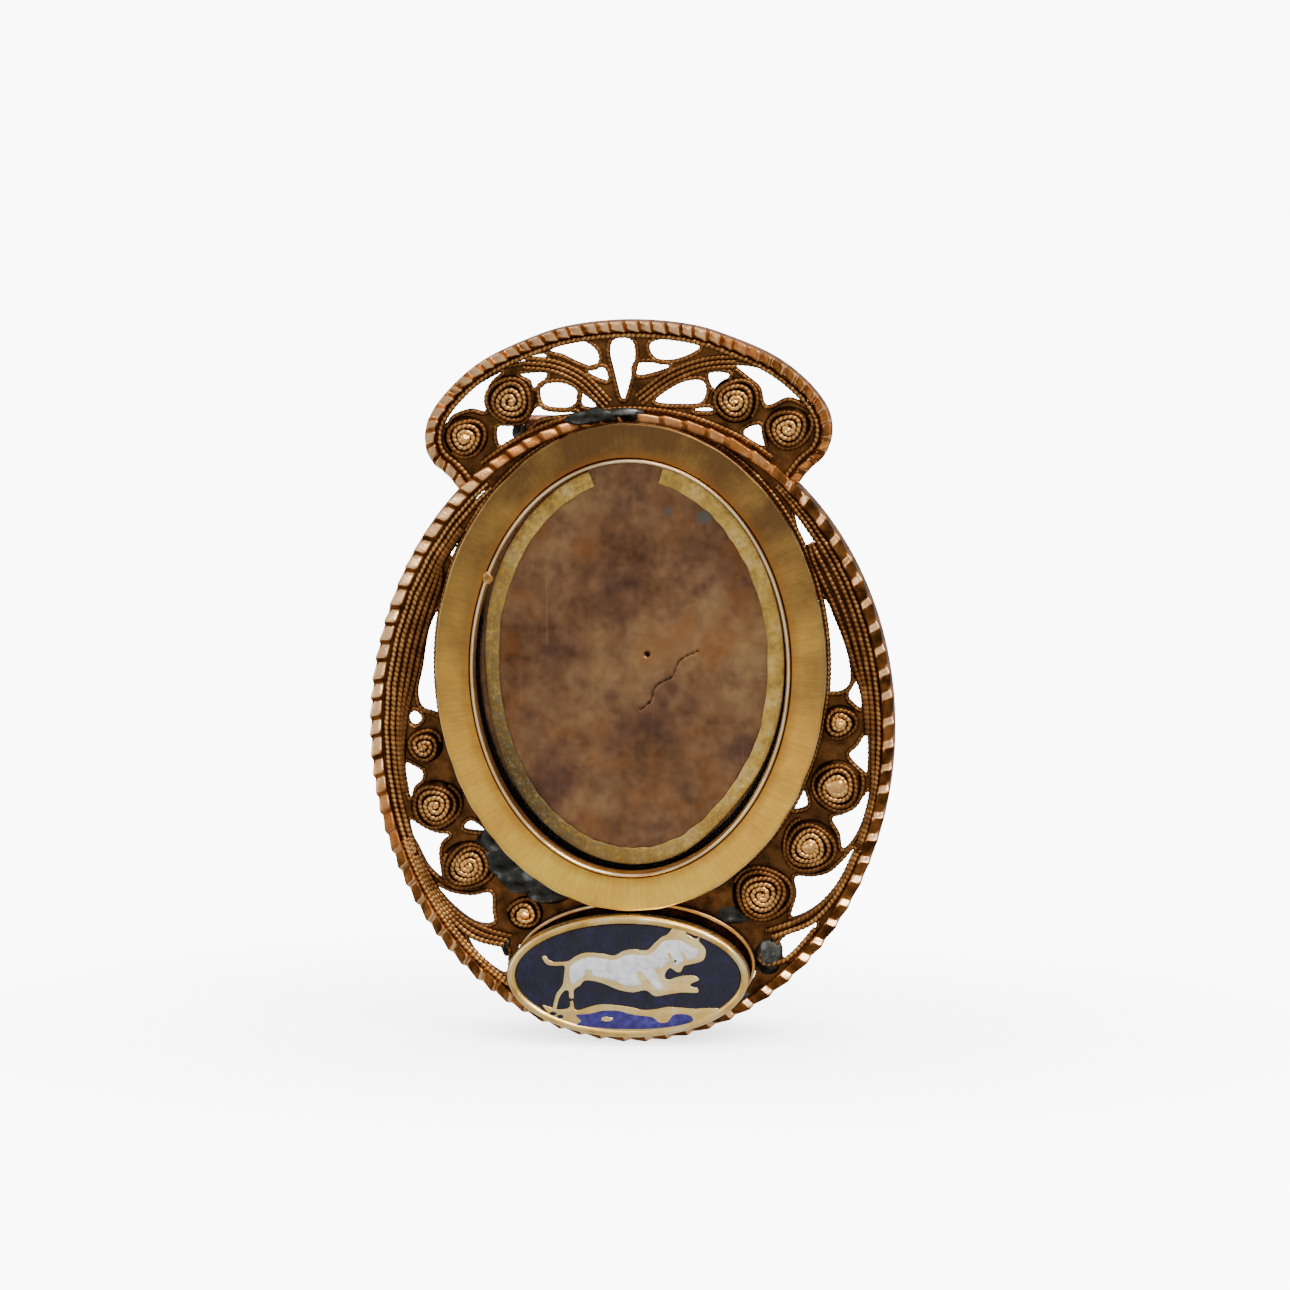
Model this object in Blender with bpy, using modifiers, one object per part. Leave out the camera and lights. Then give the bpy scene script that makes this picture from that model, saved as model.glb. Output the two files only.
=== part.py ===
"""Filigree locket: an oval glazed case with a hinged back lid, held in a crowned frame of wire filigree.

Frame: +Z up, +X to the wearer's left as seen from the front, front faces -Y. The origin is the centre of the back
lid's outer face. Depths are measured forward from that face, so a piece at depth d lies at y = -d.
"""

import math

import bmesh
import bpy

MM = 0.001

# Overall sizes
LOCKET_WIDTH = 26.4 * MM
OVAL_HEIGHT = 31.9 * MM
CROWN_RISE = 4.55 * MM
CROWN_OVERHANG = 2.6 * MM
CROWN_SHIFT = -0.18 * MM

# Frame strips
RIM_STRIP = 0.6 * MM
CROWN_STRIP = 0.121 * CROWN_RISE
FRAME_BACK = 1.4 * MM
FRAME_FRONT = 2.9 * MM

# Bands of filigree between the rim and the case seat
SIDE_BAND = 3.25 * MM
TOP_BAND = 0.28 * MM
BOTTOM_BAND = 6.68 * MM
FILIGREE_BACK = 1.8 * MM
FILIGREE_FRONT = 2.6 * MM

# Case, measured inwards from the seat's outer edge
SEAT_WIRE = 0.6 * MM
CASE_WALL = 0.28 * MM
BEARER_WIDTH = 0.5 * MM
BEARER_HEIGHT = 0.46 * MM
CASE_FRONT = 3.25 * MM
PLATE_THICKNESS = 0.18 * MM
MAT_THICKNESS = 0.17 * MM
MAT_WIDTH = 0.85 * MM
MAT_MARGIN = 0.75 * MM
MAT_OPENING = (-13.0, 8.5)

# Bezel
FLANGE_OVERHANG = 0.47 * MM
FLANGE_THICKNESS = 0.4 * MM
LIP_WALL = 0.22 * MM
LIP_RISE = 0.4 * MM
LIP_SLOPE = 0.1 * MM
GLASS_LEDGE = 0.33 * MM
GLASS_THICKNESS = 0.4 * MM
SHOULDER = 0.2 * MM
SLEEVE_WALL = 0.22 * MM
SLEEVE_DEPTH = 0.85 * MM

# Back lid and its hinge
LID_THICKNESS = 0.5 * MM
LID_RIM_WALL = 0.25 * MM
LID_RIM_DEPTH = 0.5 * MM
KNUCKLE_RADIUS = 0.42 * MM
KNUCKLE_BORE = 0.2 * MM
KNUCKLE_LENGTH = 1.4 * MM
PIN_RADIUS = 0.15 * MM
THUMB_REACH = 0.6 * MM
THUMB_WIDTH = 2.4 * MM

# Plaque and collet
PLAQUE_HALF_WIDTH = 0.9102 * BOTTOM_BAND
PLAQUE_HALF_HEIGHT = 0.4641 * BOTTOM_BAND
PLAQUE_OFFSET = -0.08 * MM
PLAQUE_BORDER = 0.4 * MM
PLAQUE_BACK = 3.4 * MM
PLAQUE_FLOOR = 0.25 * MM
PLAQUE_FRONT = 4.4 * MM
COLLET_HALF_WIDTH = 0.9057 * BOTTOM_BAND
COLLET_OFFSET = 0.2 * MM
COLLET_WALL = 0.2 * MM
COLLET_FLOOR = 0.25 * MM
BEARER_INSET = 0.55 * MM

# Chain tube
TUBE_RADIUS = 0.55 * MM
TUBE_BORE = 0.35 * MM
TUBE_LENGTH = 11.0 * MM

# Clearances
GAP = 0.04 * MM
SLEEVE_FIT = 0.05 * MM
LID_FIT = 0.08 * MM
GLASS_FIT = 0.03 * MM
TUBE_GAP = 0.06 * MM
PLAQUE_CLEARANCE = 0.1 * MM
SOLDER_GAP = 0.15 * MM
ENAMEL_GAP = 0.03 * MM

# Smoothness
OVAL_POINTS = 60
MERGE = 0.000001

# Values worked out from the sizes above
RIM_A = LOCKET_WIDTH / 2
RIM_B = OVAL_HEIGHT / 2
RIM_Z = (TOP_BAND - BOTTOM_BAND) / 2
SEAT_A = RIM_A - RIM_STRIP - SIDE_BAND
SEAT_B = RIM_B - RIM_STRIP - (TOP_BAND + BOTTOM_BAND) / 2
WALL_OUT = -SEAT_WIRE - GAP
WALL_IN = WALL_OUT - CASE_WALL
SLEEVE_OUT = WALL_IN - SLEEVE_FIT
SLEEVE_IN = SLEEVE_OUT - SLEEVE_WALL
GLASS_OUT = SLEEVE_IN - GLASS_FIT
LIP_IN = GLASS_OUT - GLASS_LEDGE
LIP_OUT = LIP_IN + LIP_WALL
SIDE_WIRE = 0.086 * SIDE_BAND
RIM_PER_BAND = 4.9
CROWN_WIRE = 0.0725 * CROWN_RISE
FLANGE_BACK = CASE_FRONT + GAP
FLANGE_FRONT = FLANGE_BACK + FLANGE_THICKNESS
LIP_FRONT = FLANGE_FRONT + LIP_RISE
SHOULDER_FRONT = FLANGE_BACK - GAP / 2
GLASS_FRONT = SHOULDER_FRONT - SHOULDER - GAP / 2
SLEEVE_BACK = CASE_FRONT - SLEEVE_DEPTH
MAT_FRONT = SLEEVE_BACK - GAP / 2
PLATE_FRONT = MAT_FRONT - MAT_THICKNESS - GAP / 2
BEARER_FRONT = PLATE_FRONT - PLATE_THICKNESS - GAP / 2
CASE_BACK = LID_THICKNESS + GAP
HINGE_X = -(SEAT_A + WALL_OUT + GAP + KNUCKLE_RADIUS)
HINGE_DEPTH = KNUCKLE_RADIUS + GAP
COLLET_HALF_HEIGHT = (BOTTOM_BAND - GAP - SOLDER_GAP) / 2
COLLET_Z = -(SEAT_B + GAP + COLLET_HALF_HEIGHT)
PLAQUE_Z = -(SEAT_B + FLANGE_OVERHANG + PLAQUE_CLEARANCE + PLAQUE_HALF_HEIGHT)
TUBE_Z = SEAT_B + WALL_OUT + TUBE_GAP + TUBE_RADIUS
TUBE_DEPTH = FRAME_BACK - GAP - TUBE_RADIUS

PARTS = "locket"
GUIDES = "guides"


# Scene and materials


def clear_scene():
    """Remove whatever the scene holds, and make the two collections."""
    for item in list(bpy.data.objects):
        bpy.data.objects.remove(item, do_unlink=True)
    for name in (PARTS, GUIDES):
        group = bpy.data.collections.new(name)
        bpy.context.scene.collection.children.link(group)


def linear(hex_colour):
    """Linear RGBA of an sRGB hex colour."""
    channels = [int(hex_colour[i : i + 2], 16) / 255 for i in (0, 2, 4)]
    return [c / 12.92 if c <= 0.04045 else ((c + 0.055) / 1.055) ** 2.4 for c in channels] + [1.0]


def metal(name, hex_colour, roughness):
    """A metal finish."""
    return finish(name, hex_colour, roughness, 1.0)


def finish(name, hex_colour, roughness, metallic=0.0, transmission=0.0):
    """A Principled material, made once for each name."""
    found = bpy.data.materials.get(name)
    if found:
        return found
    made = bpy.data.materials.new(name)
    made.use_nodes = True
    shader = made.node_tree.nodes["Principled BSDF"]
    shader.inputs["Base Color"].default_value = linear(hex_colour)
    shader.inputs["Roughness"].default_value = roughness
    shader.inputs["Metallic"].default_value = metallic
    shader.inputs["Transmission Weight"].default_value = transmission
    made.diffuse_color = linear(hex_colour)
    return made


def worn_gold():
    return metal("worn_gold", "C9955A", 0.38)


def dark_gold():
    return metal("patinated_gold", "7A4A22", 0.5)


def bezel_gold():
    return metal("scratched_gold", "C8A254", 0.34)


def pale_gold():
    return metal("pale_gold", "E3C88E", 0.36)


def add(data, name, material, group=PARTS):
    """Put a mesh or curve in the scene as an object."""
    item = bpy.data.objects.new(name, data)
    bpy.data.collections[group].objects.link(item)
    if material:
        data.materials.append(material)
    if group == GUIDES:
        item.hide_render = True
        item.display_type = "WIRE"
    return item


# Outlines, as lists of (x, z)


def oval(offset, half_width=SEAT_A, half_height=SEAT_B, centre=(0.0, 0.0), count=OVAL_POINTS):
    """A closed line at a constant distance outside an ellipse."""
    return [oval_point(math.tau * i / count, offset, half_width, half_height, centre) for i in range(count)]


def oval_point(angle, offset, half_width, half_height, centre=(0.0, 0.0)):
    """The point at an ellipse's parameter, clockwise from the top, moved outwards along the normal."""
    nx = math.sin(angle) / half_width
    nz = math.cos(angle) / half_height
    length = math.hypot(nx, nz)
    x = centre[0] + half_width * math.sin(angle) + offset * nx / length
    z = centre[1] + half_height * math.cos(angle) + offset * nz / length
    return (x, z)


def local_band(degrees):
    """Width of the band of filigree at an angle, along the normal from the rim's inner edge to the case seat."""
    angle = math.radians(degrees)
    nx, nz = math.sin(angle) / RIM_A, math.cos(angle) / RIM_B
    length = math.hypot(nx, nz)
    nx, nz = nx / length, nz / length
    x, z = oval_point(angle, -RIM_STRIP, RIM_A, RIM_B, (0.0, RIM_Z))
    square = (nx / SEAT_A) ** 2 + (nz / SEAT_B) ** 2
    middle = x * nx / SEAT_A**2 + z * nz / SEAT_B**2
    rest = (x / SEAT_A) ** 2 + (z / SEAT_B) ** 2 - 1
    return (middle - math.sqrt(max(0.0, middle**2 - square * rest))) / square


def rim_point(side, degrees, width):
    """A point in the side filigree: degrees from the top, and the distance in from the rim's inner edge."""
    x, z = oval_point(math.radians(degrees), -RIM_STRIP - width, RIM_A, RIM_B, (0.0, RIM_Z))
    return (side * x, z)


def crown_point(across, up):
    """A point in the crown: share of its half width, and share of its rise above the oval rim."""
    half_width = RIM_A * math.sin(math.radians(35.5)) + CROWN_OVERHANG
    x = CROWN_SHIFT + across * half_width
    base = RIM_Z + RIM_B * math.sqrt(max(0.0, 1 - (x / RIM_A) ** 2))
    return (x, base + up * CROWN_RISE)


def smooth(points, closed=False, steps=3):
    """A Catmull-Rom line through the points."""
    count = len(points)
    line = []
    for i in range(count if closed else count - 1):
        if closed:
            a, b, c, d = (points[(i + k) % count] for k in (-1, 0, 1, 2))
        else:
            a, b, c, d = (points[min(max(i + k, 0), count - 1)] for k in (-1, 0, 1, 2))
        for step in range(steps):
            t = step / steps
            line.append(tuple(catmull(a[k], b[k], c[k], d[k], t) for k in range(len(a))))
    if not closed:
        line.append(tuple(points[-1]))
    return line


def catmull(a, b, c, d, t):
    """One coordinate of a Catmull-Rom curve between b and c."""
    return 0.5 * (2 * b + (c - a) * t + (2 * a - 5 * b + 4 * c - d) * t**2 + (3 * b - a - 3 * c + d) * t**3)


def beside(line, distance, closed=False):
    """The line moved sideways by a distance, without the points that a tight bend brings nearer than that."""
    moved = []
    last = len(line) - 1
    for i, (x, z) in enumerate(line):
        before = line[i - 1] if i or closed else None
        after = line[(i + 1) % len(line)] if i < last or closed else None
        ahead = side_of((x, z), after) if after else side_of(before, (x, z))
        behind = side_of(before, (x, z)) if before else ahead
        nx, nz = ahead[0] + behind[0], ahead[1] + behind[1]
        length = max(math.hypot(nx, nz), 0.001)
        reach = distance / max(0.6, length / 2)
        point = (x + reach * nx / length, z + reach * nz / length)
        if clearance(point, line, closed) > 0.93 * abs(distance):
            moved.append(point)
    return moved


def side_of(start, end):
    """Unit normal on the left of a straight piece."""
    dx, dz = end[0] - start[0], end[1] - start[1]
    length = math.hypot(dx, dz)
    return (-dz / length, dx / length)


def clearance(point, line, closed):
    """Distance from a point to a line of straight pieces."""
    nearest = math.inf
    for i in range(len(line) if closed else len(line) - 1):
        (ax, az), (bx, bz) = line[i], line[(i + 1) % len(line)]
        dx, dz = bx - ax, bz - az
        share = ((point[0] - ax) * dx + (point[1] - az) * dz) / (dx * dx + dz * dz)
        share = min(1.0, max(0.0, share))
        nearest = min(nearest, math.hypot(point[0] - ax - share * dx, point[1] - az - share * dz))
    return nearest


def strip(points, width, closed=False, steps=3):
    """Outlines of a strip of constant width along a smooth line."""
    line = smooth(points, closed, steps)
    left = beside(line, width / 2, closed)
    right = beside(line, -width / 2, closed)
    if closed:
        return [left, right]
    return [left + right[::-1]]


def band(side, stations):
    """Outline of a ribbon in the side filigree, from (degrees, outer width, inner width) stations in mm."""
    fine = smooth(stations)
    outer = [rim_point(side, t, lo * MM) for t, lo, hi in fine]
    inner = [rim_point(side, t, hi * MM) for t, lo, hi in fine]
    return [outer + inner[::-1]]


# Solids


def flat_solid(name, outlines, back, front, material, group=PARTS):
    """A flat piece standing in the XZ plane between two depths; outlines inside others are holes."""
    curve = bpy.data.curves.new(name, "CURVE")
    curve.dimensions = "2D"
    curve.fill_mode = "BOTH"
    curve.extrude = (front - back) / 2
    for outline in outlines:
        spline = curve.splines.new("POLY")
        spline.points.add(len(outline) - 1)
        for point, (x, z) in zip(spline.points, outline):
            point.co = (x, z, 0.0, 1.0)
        spline.use_cyclic_u = True
    item = add(curve, name, material, group)
    item.location = (0.0, -(front + back) / 2, 0.0)
    item.rotation_euler = (math.pi / 2, 0.0, 0.0)
    return item


def oval_section(name, profile, material):
    """A section carried round the case: profile is a list of (offset outwards, depth)."""
    section = bpy.data.curves.new(name + "_section", "CURVE")
    section.dimensions = "2D"
    spline = section.splines.new("POLY")
    spline.points.add(len(profile) - 1)
    for point, (offset, depth) in zip(spline.points, profile):
        point.co = (-offset, depth, 0.0, 1.0)
    spline.use_cyclic_u = True
    guide = add(section, name + "_section", None, GUIDES)
    path = bpy.data.curves.new(name, "CURVE")
    path.dimensions = "2D"
    path.fill_mode = "NONE"
    path.bevel_mode = "OBJECT"
    path.bevel_object = guide
    line = oval(0.0)
    spline = path.splines.new("POLY")
    spline.points.add(len(line) - 1)
    for point, (x, z) in zip(spline.points, line):
        point.co = (x, z, 0.0, 1.0)
    spline.use_cyclic_u = True
    item = add(path, name, material)
    item.rotation_euler = (math.pi / 2, 0.0, 0.0)
    return item


def turned(name, profile, location, rotation, material, steps=20):
    """A turned piece: profile is a list of (radius, height), down the outer side from the top."""
    mesh = bpy.data.meshes.new(name)
    points = [(radius, 0.0, height) for radius, height in profile]
    edges = [(i, i + 1) for i in range(len(points) - 1)]
    closed = profile[0][0] > 0
    if closed:
        edges.append((len(points) - 1, 0))
    mesh.from_pydata(points, edges, [])
    item = add(mesh, name, material)
    item.location = location
    item.rotation_euler = rotation
    screw = item.modifiers.new("turn", "SCREW")
    screw.axis = "Z"
    screw.steps = steps
    screw.render_steps = steps
    screw.use_merge_vertices = True
    screw.merge_threshold = MERGE
    screw.use_smooth_shade = True
    return item


def tube(name, outer, bore, length, location, rotation, material, steps=16):
    """A plain tube about its own Z, centred on its location."""
    profile = [(outer, length / 2), (outer, -length / 2), (bore, -length / 2), (bore, length / 2)]
    return turned(name, profile, location, rotation, material, steps)


def carve(item, cutter):
    """Cut one flat solid out of another, both made meshes first."""
    target = as_mesh(item, PARTS)
    tool = as_mesh(cutter, GUIDES)
    modifier = target.modifiers.new("cut", "BOOLEAN")
    modifier.operation = "DIFFERENCE"
    modifier.solver = "EXACT"
    modifier.object = tool
    return target


def as_mesh(item, group):
    """The object as a welded mesh object of the same name; a mesh is returned as it is."""
    if item.type == "MESH":
        return item
    bpy.context.view_layer.update()
    graph = bpy.context.evaluated_depsgraph_get()
    mesh = bpy.data.meshes.new_from_object(item.evaluated_get(graph))
    name = item.name
    place = item.matrix_world.copy()
    work = bmesh.new()
    work.from_mesh(mesh)
    bmesh.ops.remove_doubles(work, verts=work.verts, dist=MERGE)
    work.to_mesh(mesh)
    work.free()
    bpy.data.objects.remove(item, do_unlink=True)
    made = bpy.data.objects.new(name, mesh)
    bpy.data.collections[group].objects.link(made)
    made.matrix_world = place
    if group == GUIDES:
        made.hide_render = True
        made.display_type = "WIRE"
    return made


# Frame


# Half of the crown's centreline, from its top to its foot on the oval: shares of the half width and of the rise
CROWN_HALF = [
    (0.0, 0.94), (0.295, 0.972), (0.517, 1.012), (0.707, 1.088), (0.848, 1.124),
    (0.94, 1.095), (0.964, 0.924), (0.937, 0.64), (0.87, 0.32), (0.825, 0.17),
]


def crown_line(side, first, last):
    """Part of one half of the crown's centreline, going away from the top."""
    return [crown_point(side * across, up) for across, up in CROWN_HALF[first : last + 1]]


def make_frame():
    """The strips on edge: the closed oval, and the crown's lobes and arch."""
    centre = (0.0, RIM_Z)
    outer = oval(0.0, RIM_A, RIM_B, centre)
    inner = oval(-RIM_STRIP, RIM_A, RIM_B, centre)
    flat_solid("oval_rim", [outer, inner], FRAME_BACK, FRAME_FRONT, worn_gold())
    foot = len(CROWN_HALF) - 1
    line = crown_line(-1, 1, foot)[::-1] + crown_line(1, 0, foot)
    flat_solid("crown_rim", strip(line, CROWN_STRIP), FRAME_BACK, FRAME_FRONT, worn_gold())


# Side filigree: ribbons are (degrees from the top, outer width, inner width) from the rim's inner edge, in mm

RIBBONS = {
    "rim_wires_left": (-1, [(35, 0.05, 0.7), (60, 0.05, 0.7), (85, 0.05, 0.7), (108, 0.05, 0.68),
                            (113, 0.05, 0.34), (128, 0.05, 0.33), (138, 0.05, 0.3), (150, 0.05, 0.3)]),
    "rim_wires_right": (1, [(37, 0.05, 0.36), (48, 0.05, 0.38), (53, 0.05, 0.66), (70, 0.05, 0.68),
                            (88, 0.05, 0.68), (98, 0.05, 0.6), (103, 0.05, 0.36), (111, 0.05, 0.33)]),
    "inner_wires_left": (-1, [(40, 0.76, 0.98), (52, 0.76, 0.98), (56, 0.76, 1.4), (61, 0.76, 1.62),
                              (72, 0.76, 1.66), (83, 0.76, 1.64), (88, 0.76, 1.3), (93, 0.76, 1.08),
                              (98, 0.76, 0.98), (103, 0.76, 0.96)]),
    "inner_wires_right": (1, [(51, 0.73, 1.0), (55, 0.73, 1.4), (62, 0.73, 1.5), (70, 0.73, 1.4),
                              (76, 0.73, 1.3), (79.5, 0.73, 1.06), (84, 0.73, 0.96), (88, 0.73, 0.94),
                              (92, 0.73, 0.86)]),
    "scroll_left": (-1, [(115, 0.4, 0.62), (122, 0.39, 0.68), (127, 0.39, 0.74), (131, 0.41, 0.97),
                         (134, 0.48, 1.2), (137, 0.68, 1.55), (140, 1.05, 1.8), (142.5, 1.4, 2.0)]),
    "scroll_right": (1, [(113, 0.08, 0.32), (118, 0.08, 0.36), (122, 0.09, 0.48), (126, 0.14, 0.76),
                         (130, 0.36, 1.08), (133, 0.68, 1.42), (136, 1.0, 1.72), (138.5, 1.28, 1.85)]),
}

# Rosettes beside the case: side, degrees from the top, and as shares of the local band the distance in from the rim
# and the radius; then the height of the middle
SIDE_ROSETTES = [
    ("rosette_left_1", -1, 94.2, 0.5581, 0.2422, 1.25),
    ("rosette_left_2", -1, 107.2, 0.5077, 0.2821, 1.3),
    ("rosette_left_3", -1, 122.6, 0.5156, 0.2742, 1.3),
    ("rosette_left_4", -1, 141.3, 0.5814, 0.142, 1.2),
    ("rosette_right_1", 1, 88.3, 0.6117, 0.2703, 1.25),
    ("rosette_right_2", 1, 101.9, 0.5033, 0.3355, 1.3),
    ("rosette_right_3", 1, 116.4, 0.5224, 0.3073, 1.3),
    ("rosette_right_4", 1, 132.4, 0.6008, 0.2844, 1.3),
]

# Rosettes in the crown: share of the half width, share of the rise, radius as a share of the rise, height of the middle
CROWN_ROSETTES = [
    ("rosette_crown_1", -0.79, 0.49, 0.233, 1.3),
    ("rosette_crown_2", -0.571, 0.5, 0.2637, 1.3),
    ("rosette_crown_3", 0.521, 0.411, 0.2374, 1.3),
    ("rosette_crown_4", 0.778, 0.511, 0.2637, 1.3),
]


def make_side_filigree():
    """Ribbons and loose wires between the rim and the case."""
    for name, (side, stations) in RIBBONS.items():
        flat_solid(name, band(side, stations), FILIGREE_BACK, FILIGREE_FRONT, dark_gold())
    wires = {
        "cross_wire_left": (-1, [(86.4, 0.5433), (87.2, 0.6644), (87.4, 0.8354)]),
        "cross_wire_right": (1, [(79.8, 0.4116), (81.6, 0.5383), (82.8, 0.7072), (83.2, 0.8865)]),
        "tail_wire_right": (1, [(132.5, 0.0426), (136, 0.0415), (139.7, 0.0439), (143.1, 0.0595), (145.3, 0.1012),
                                (145.4, 0.1631), (144.4, 0.2214)]),
        "curl_wire_left": (-1, [(131.6, 0.5115), (134, 0.4829), (136.5, 0.4311), (138.6, 0.3876)]),
    }
    for name, (side, places) in wires.items():
        line = [rim_point(side, degrees, share * local_band(degrees)) for degrees, share in places]
        flat_solid(name, strip(line, SIDE_WIRE), FILIGREE_BACK, FILIGREE_FRONT, dark_gold())
    seat = [oval(0.0), oval(-SEAT_WIRE)]
    flat_solid("case_seat", seat, FILIGREE_BACK, FILIGREE_FRONT, dark_gold())


def make_crown_filigree():
    """The wires of the crown, each a narrow strip; ends stop just short of what they are soldered to."""
    nested = (CROWN_STRIP + CROWN_WIRE) / 2 + GAP
    left = beside(smooth(crown_line(-1, 3, 6)), nested)[::-1]
    right = beside(smooth(crown_line(1, 3, 6)), -nested)
    arch = beside(smooth(crown_line(-1, 1, 2)[::-1] + crown_line(1, 0, 2)), -nested)
    lines = {
        "edge_wire_left": (1.0, left + [crown_point(-0.64, 0.93), crown_point(-0.57, 0.845), crown_point(-0.49, 0.77)]),
        "edge_wire_right": (1.0, [crown_point(0.545, 0.85), crown_point(0.61, 0.915)] + right),
        "top_wire": (0.9, arch[2:-2]),
    }
    for name, (share, line) in lines.items():
        flat_solid(name, strip(line, CROWN_WIRE * share, steps=1), FILIGREE_BACK, FILIGREE_FRONT, dark_gold())
    lines = {
        "curl_wire_outer": (0.9, [(-0.812, 0.855), (-0.775, 0.8), (-0.722, 0.655), (-0.677, 0.47), (-0.655, 0.27),
                                  (-0.66, 0.13)]),
        "curl_wire_inner": (0.9, [(0.43, 0.61), (0.495, 0.71), (0.565, 0.745), (0.63, 0.735), (0.655, 0.61),
                                  (0.648, 0.5)]),
        "vein_left": (1.9, [(-0.395, 0.62), (-0.3, 0.5), (-0.214, 0.37), (-0.155, 0.265)]),
        "vein_right": (1.9, [(0.07, 0.215), (0.13, 0.295), (0.202, 0.41), (0.299, 0.54), (0.365, 0.63)]),
    }
    for name, (share, places) in lines.items():
        line = [crown_point(across, up) for across, up in places]
        flat_solid(name, strip(line, CROWN_WIRE * share), FILIGREE_BACK, FILIGREE_FRONT, dark_gold())
    loops = {
        "petal_left": [(-0.375, 0.74), (-0.298, 0.785), (-0.228, 0.77), (-0.172, 0.71), (-0.15, 0.62),
                       (-0.17, 0.555), (-0.22, 0.57), (-0.3, 0.66)],
        "petal_right": [(0.118, 0.69), (0.153, 0.745), (0.212, 0.775), (0.29, 0.79), (0.345, 0.77),
                        (0.3, 0.7), (0.21, 0.61), (0.14, 0.605)],
        "teardrop": [(-0.028, 0.735), (-0.08, 0.67), (-0.092, 0.5), (-0.063, 0.29), (-0.03, 0.16),
                     (0.003, 0.29), (0.03, 0.5), (0.026, 0.66)],
        "loop_left": [(-0.2, 0.135), (-0.298, 0.118), (-0.361, 0.167), (-0.41, 0.249), (-0.425, 0.36),
                      (-0.405, 0.44), (-0.362, 0.46), (-0.3, 0.39), (-0.235, 0.28)],
        "loop_right": [(0.13, 0.15), (0.226, 0.13), (0.299, 0.155), (0.355, 0.25), (0.372, 0.36),
                       (0.352, 0.43), (0.3, 0.4), (0.215, 0.3)],
    }
    for name, places in loops.items():
        line = [crown_point(across, up) for across, up in places]
        outlines = strip(line, CROWN_WIRE * 0.8, closed=True)
        flat_solid(name, outlines, FILIGREE_BACK, FILIGREE_FRONT, dark_gold())


def make_rosette(name, centre, radius, height):
    """A low stepped cone, the envelope of a raised spiral of twisted wire."""
    turns = 2 if radius < 1.0 * MM else 3
    floor = 0.45 * height
    profile = [(0.0, height)]
    for turn in range(turns):
        share = (turn + 1) / turns
        level = height - (height - floor) * share**1.2
        ridge = height - (height - floor) * (turn / turns) ** 1.2
        profile.append((radius * (share - 0.35 / turns), ridge))
        profile.append((radius * share, level - 0.12 * MM))
    profile.append((radius, 0.0))
    profile.append((0.0, 0.0))
    place = (centre[0], -FILIGREE_BACK, centre[1])
    turned(name, profile, place, (math.pi / 2, 0.0, 0.0), worn_gold(), steps=14)


def make_rosettes():
    """The wire rosettes of the sides and of the crown."""
    for name, side, degrees, inward, radius, height in SIDE_ROSETTES:
        reach = radius * local_band(degrees) * min(1.0, RIM_B / (RIM_PER_BAND * SIDE_BAND))
        make_rosette(name, rim_point(side, degrees, inward * local_band(degrees)), reach, height * MM)
    for name, across, up, radius, height in CROWN_ROSETTES:
        make_rosette(name, crown_point(across, up), radius * CROWN_RISE, height * MM)


# Case


def make_case():
    """The wall, the bearer inside it, the tarnished plate and the open mat ring."""
    flat_solid("case_wall", [oval(WALL_OUT), oval(WALL_IN)], CASE_BACK, CASE_FRONT, bezel_gold())
    bearer = WALL_IN - GAP
    flat_solid(
        "case_bearer",
        [oval(bearer), oval(bearer - BEARER_WIDTH)],
        BEARER_FRONT - BEARER_HEIGHT,
        BEARER_FRONT,
        bezel_gold(),
    )
    copper = metal("tarnished_copper", "8A5A3A", 0.55)
    back = PLATE_FRONT - PLATE_THICKNESS
    flat_solid("backing_plate", [oval(WALL_IN - GAP)], back, PLATE_FRONT, copper)
    left, right = (math.radians(angle) for angle in MAT_OPENING)
    sweep = math.tau - (right - left)
    steps = [right + sweep * i / 80 for i in range(81)]
    edge = WALL_IN - MAT_MARGIN
    outer = [oval_point(angle, edge, SEAT_A, SEAT_B) for angle in steps]
    inner = [oval_point(angle, edge - MAT_WIDTH, SEAT_A, SEAT_B) for angle in steps]
    back = MAT_FRONT - MAT_THICKNESS
    flat_solid("mat_ring", [outer + inner[::-1]], back, MAT_FRONT, pale_gold())


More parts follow.
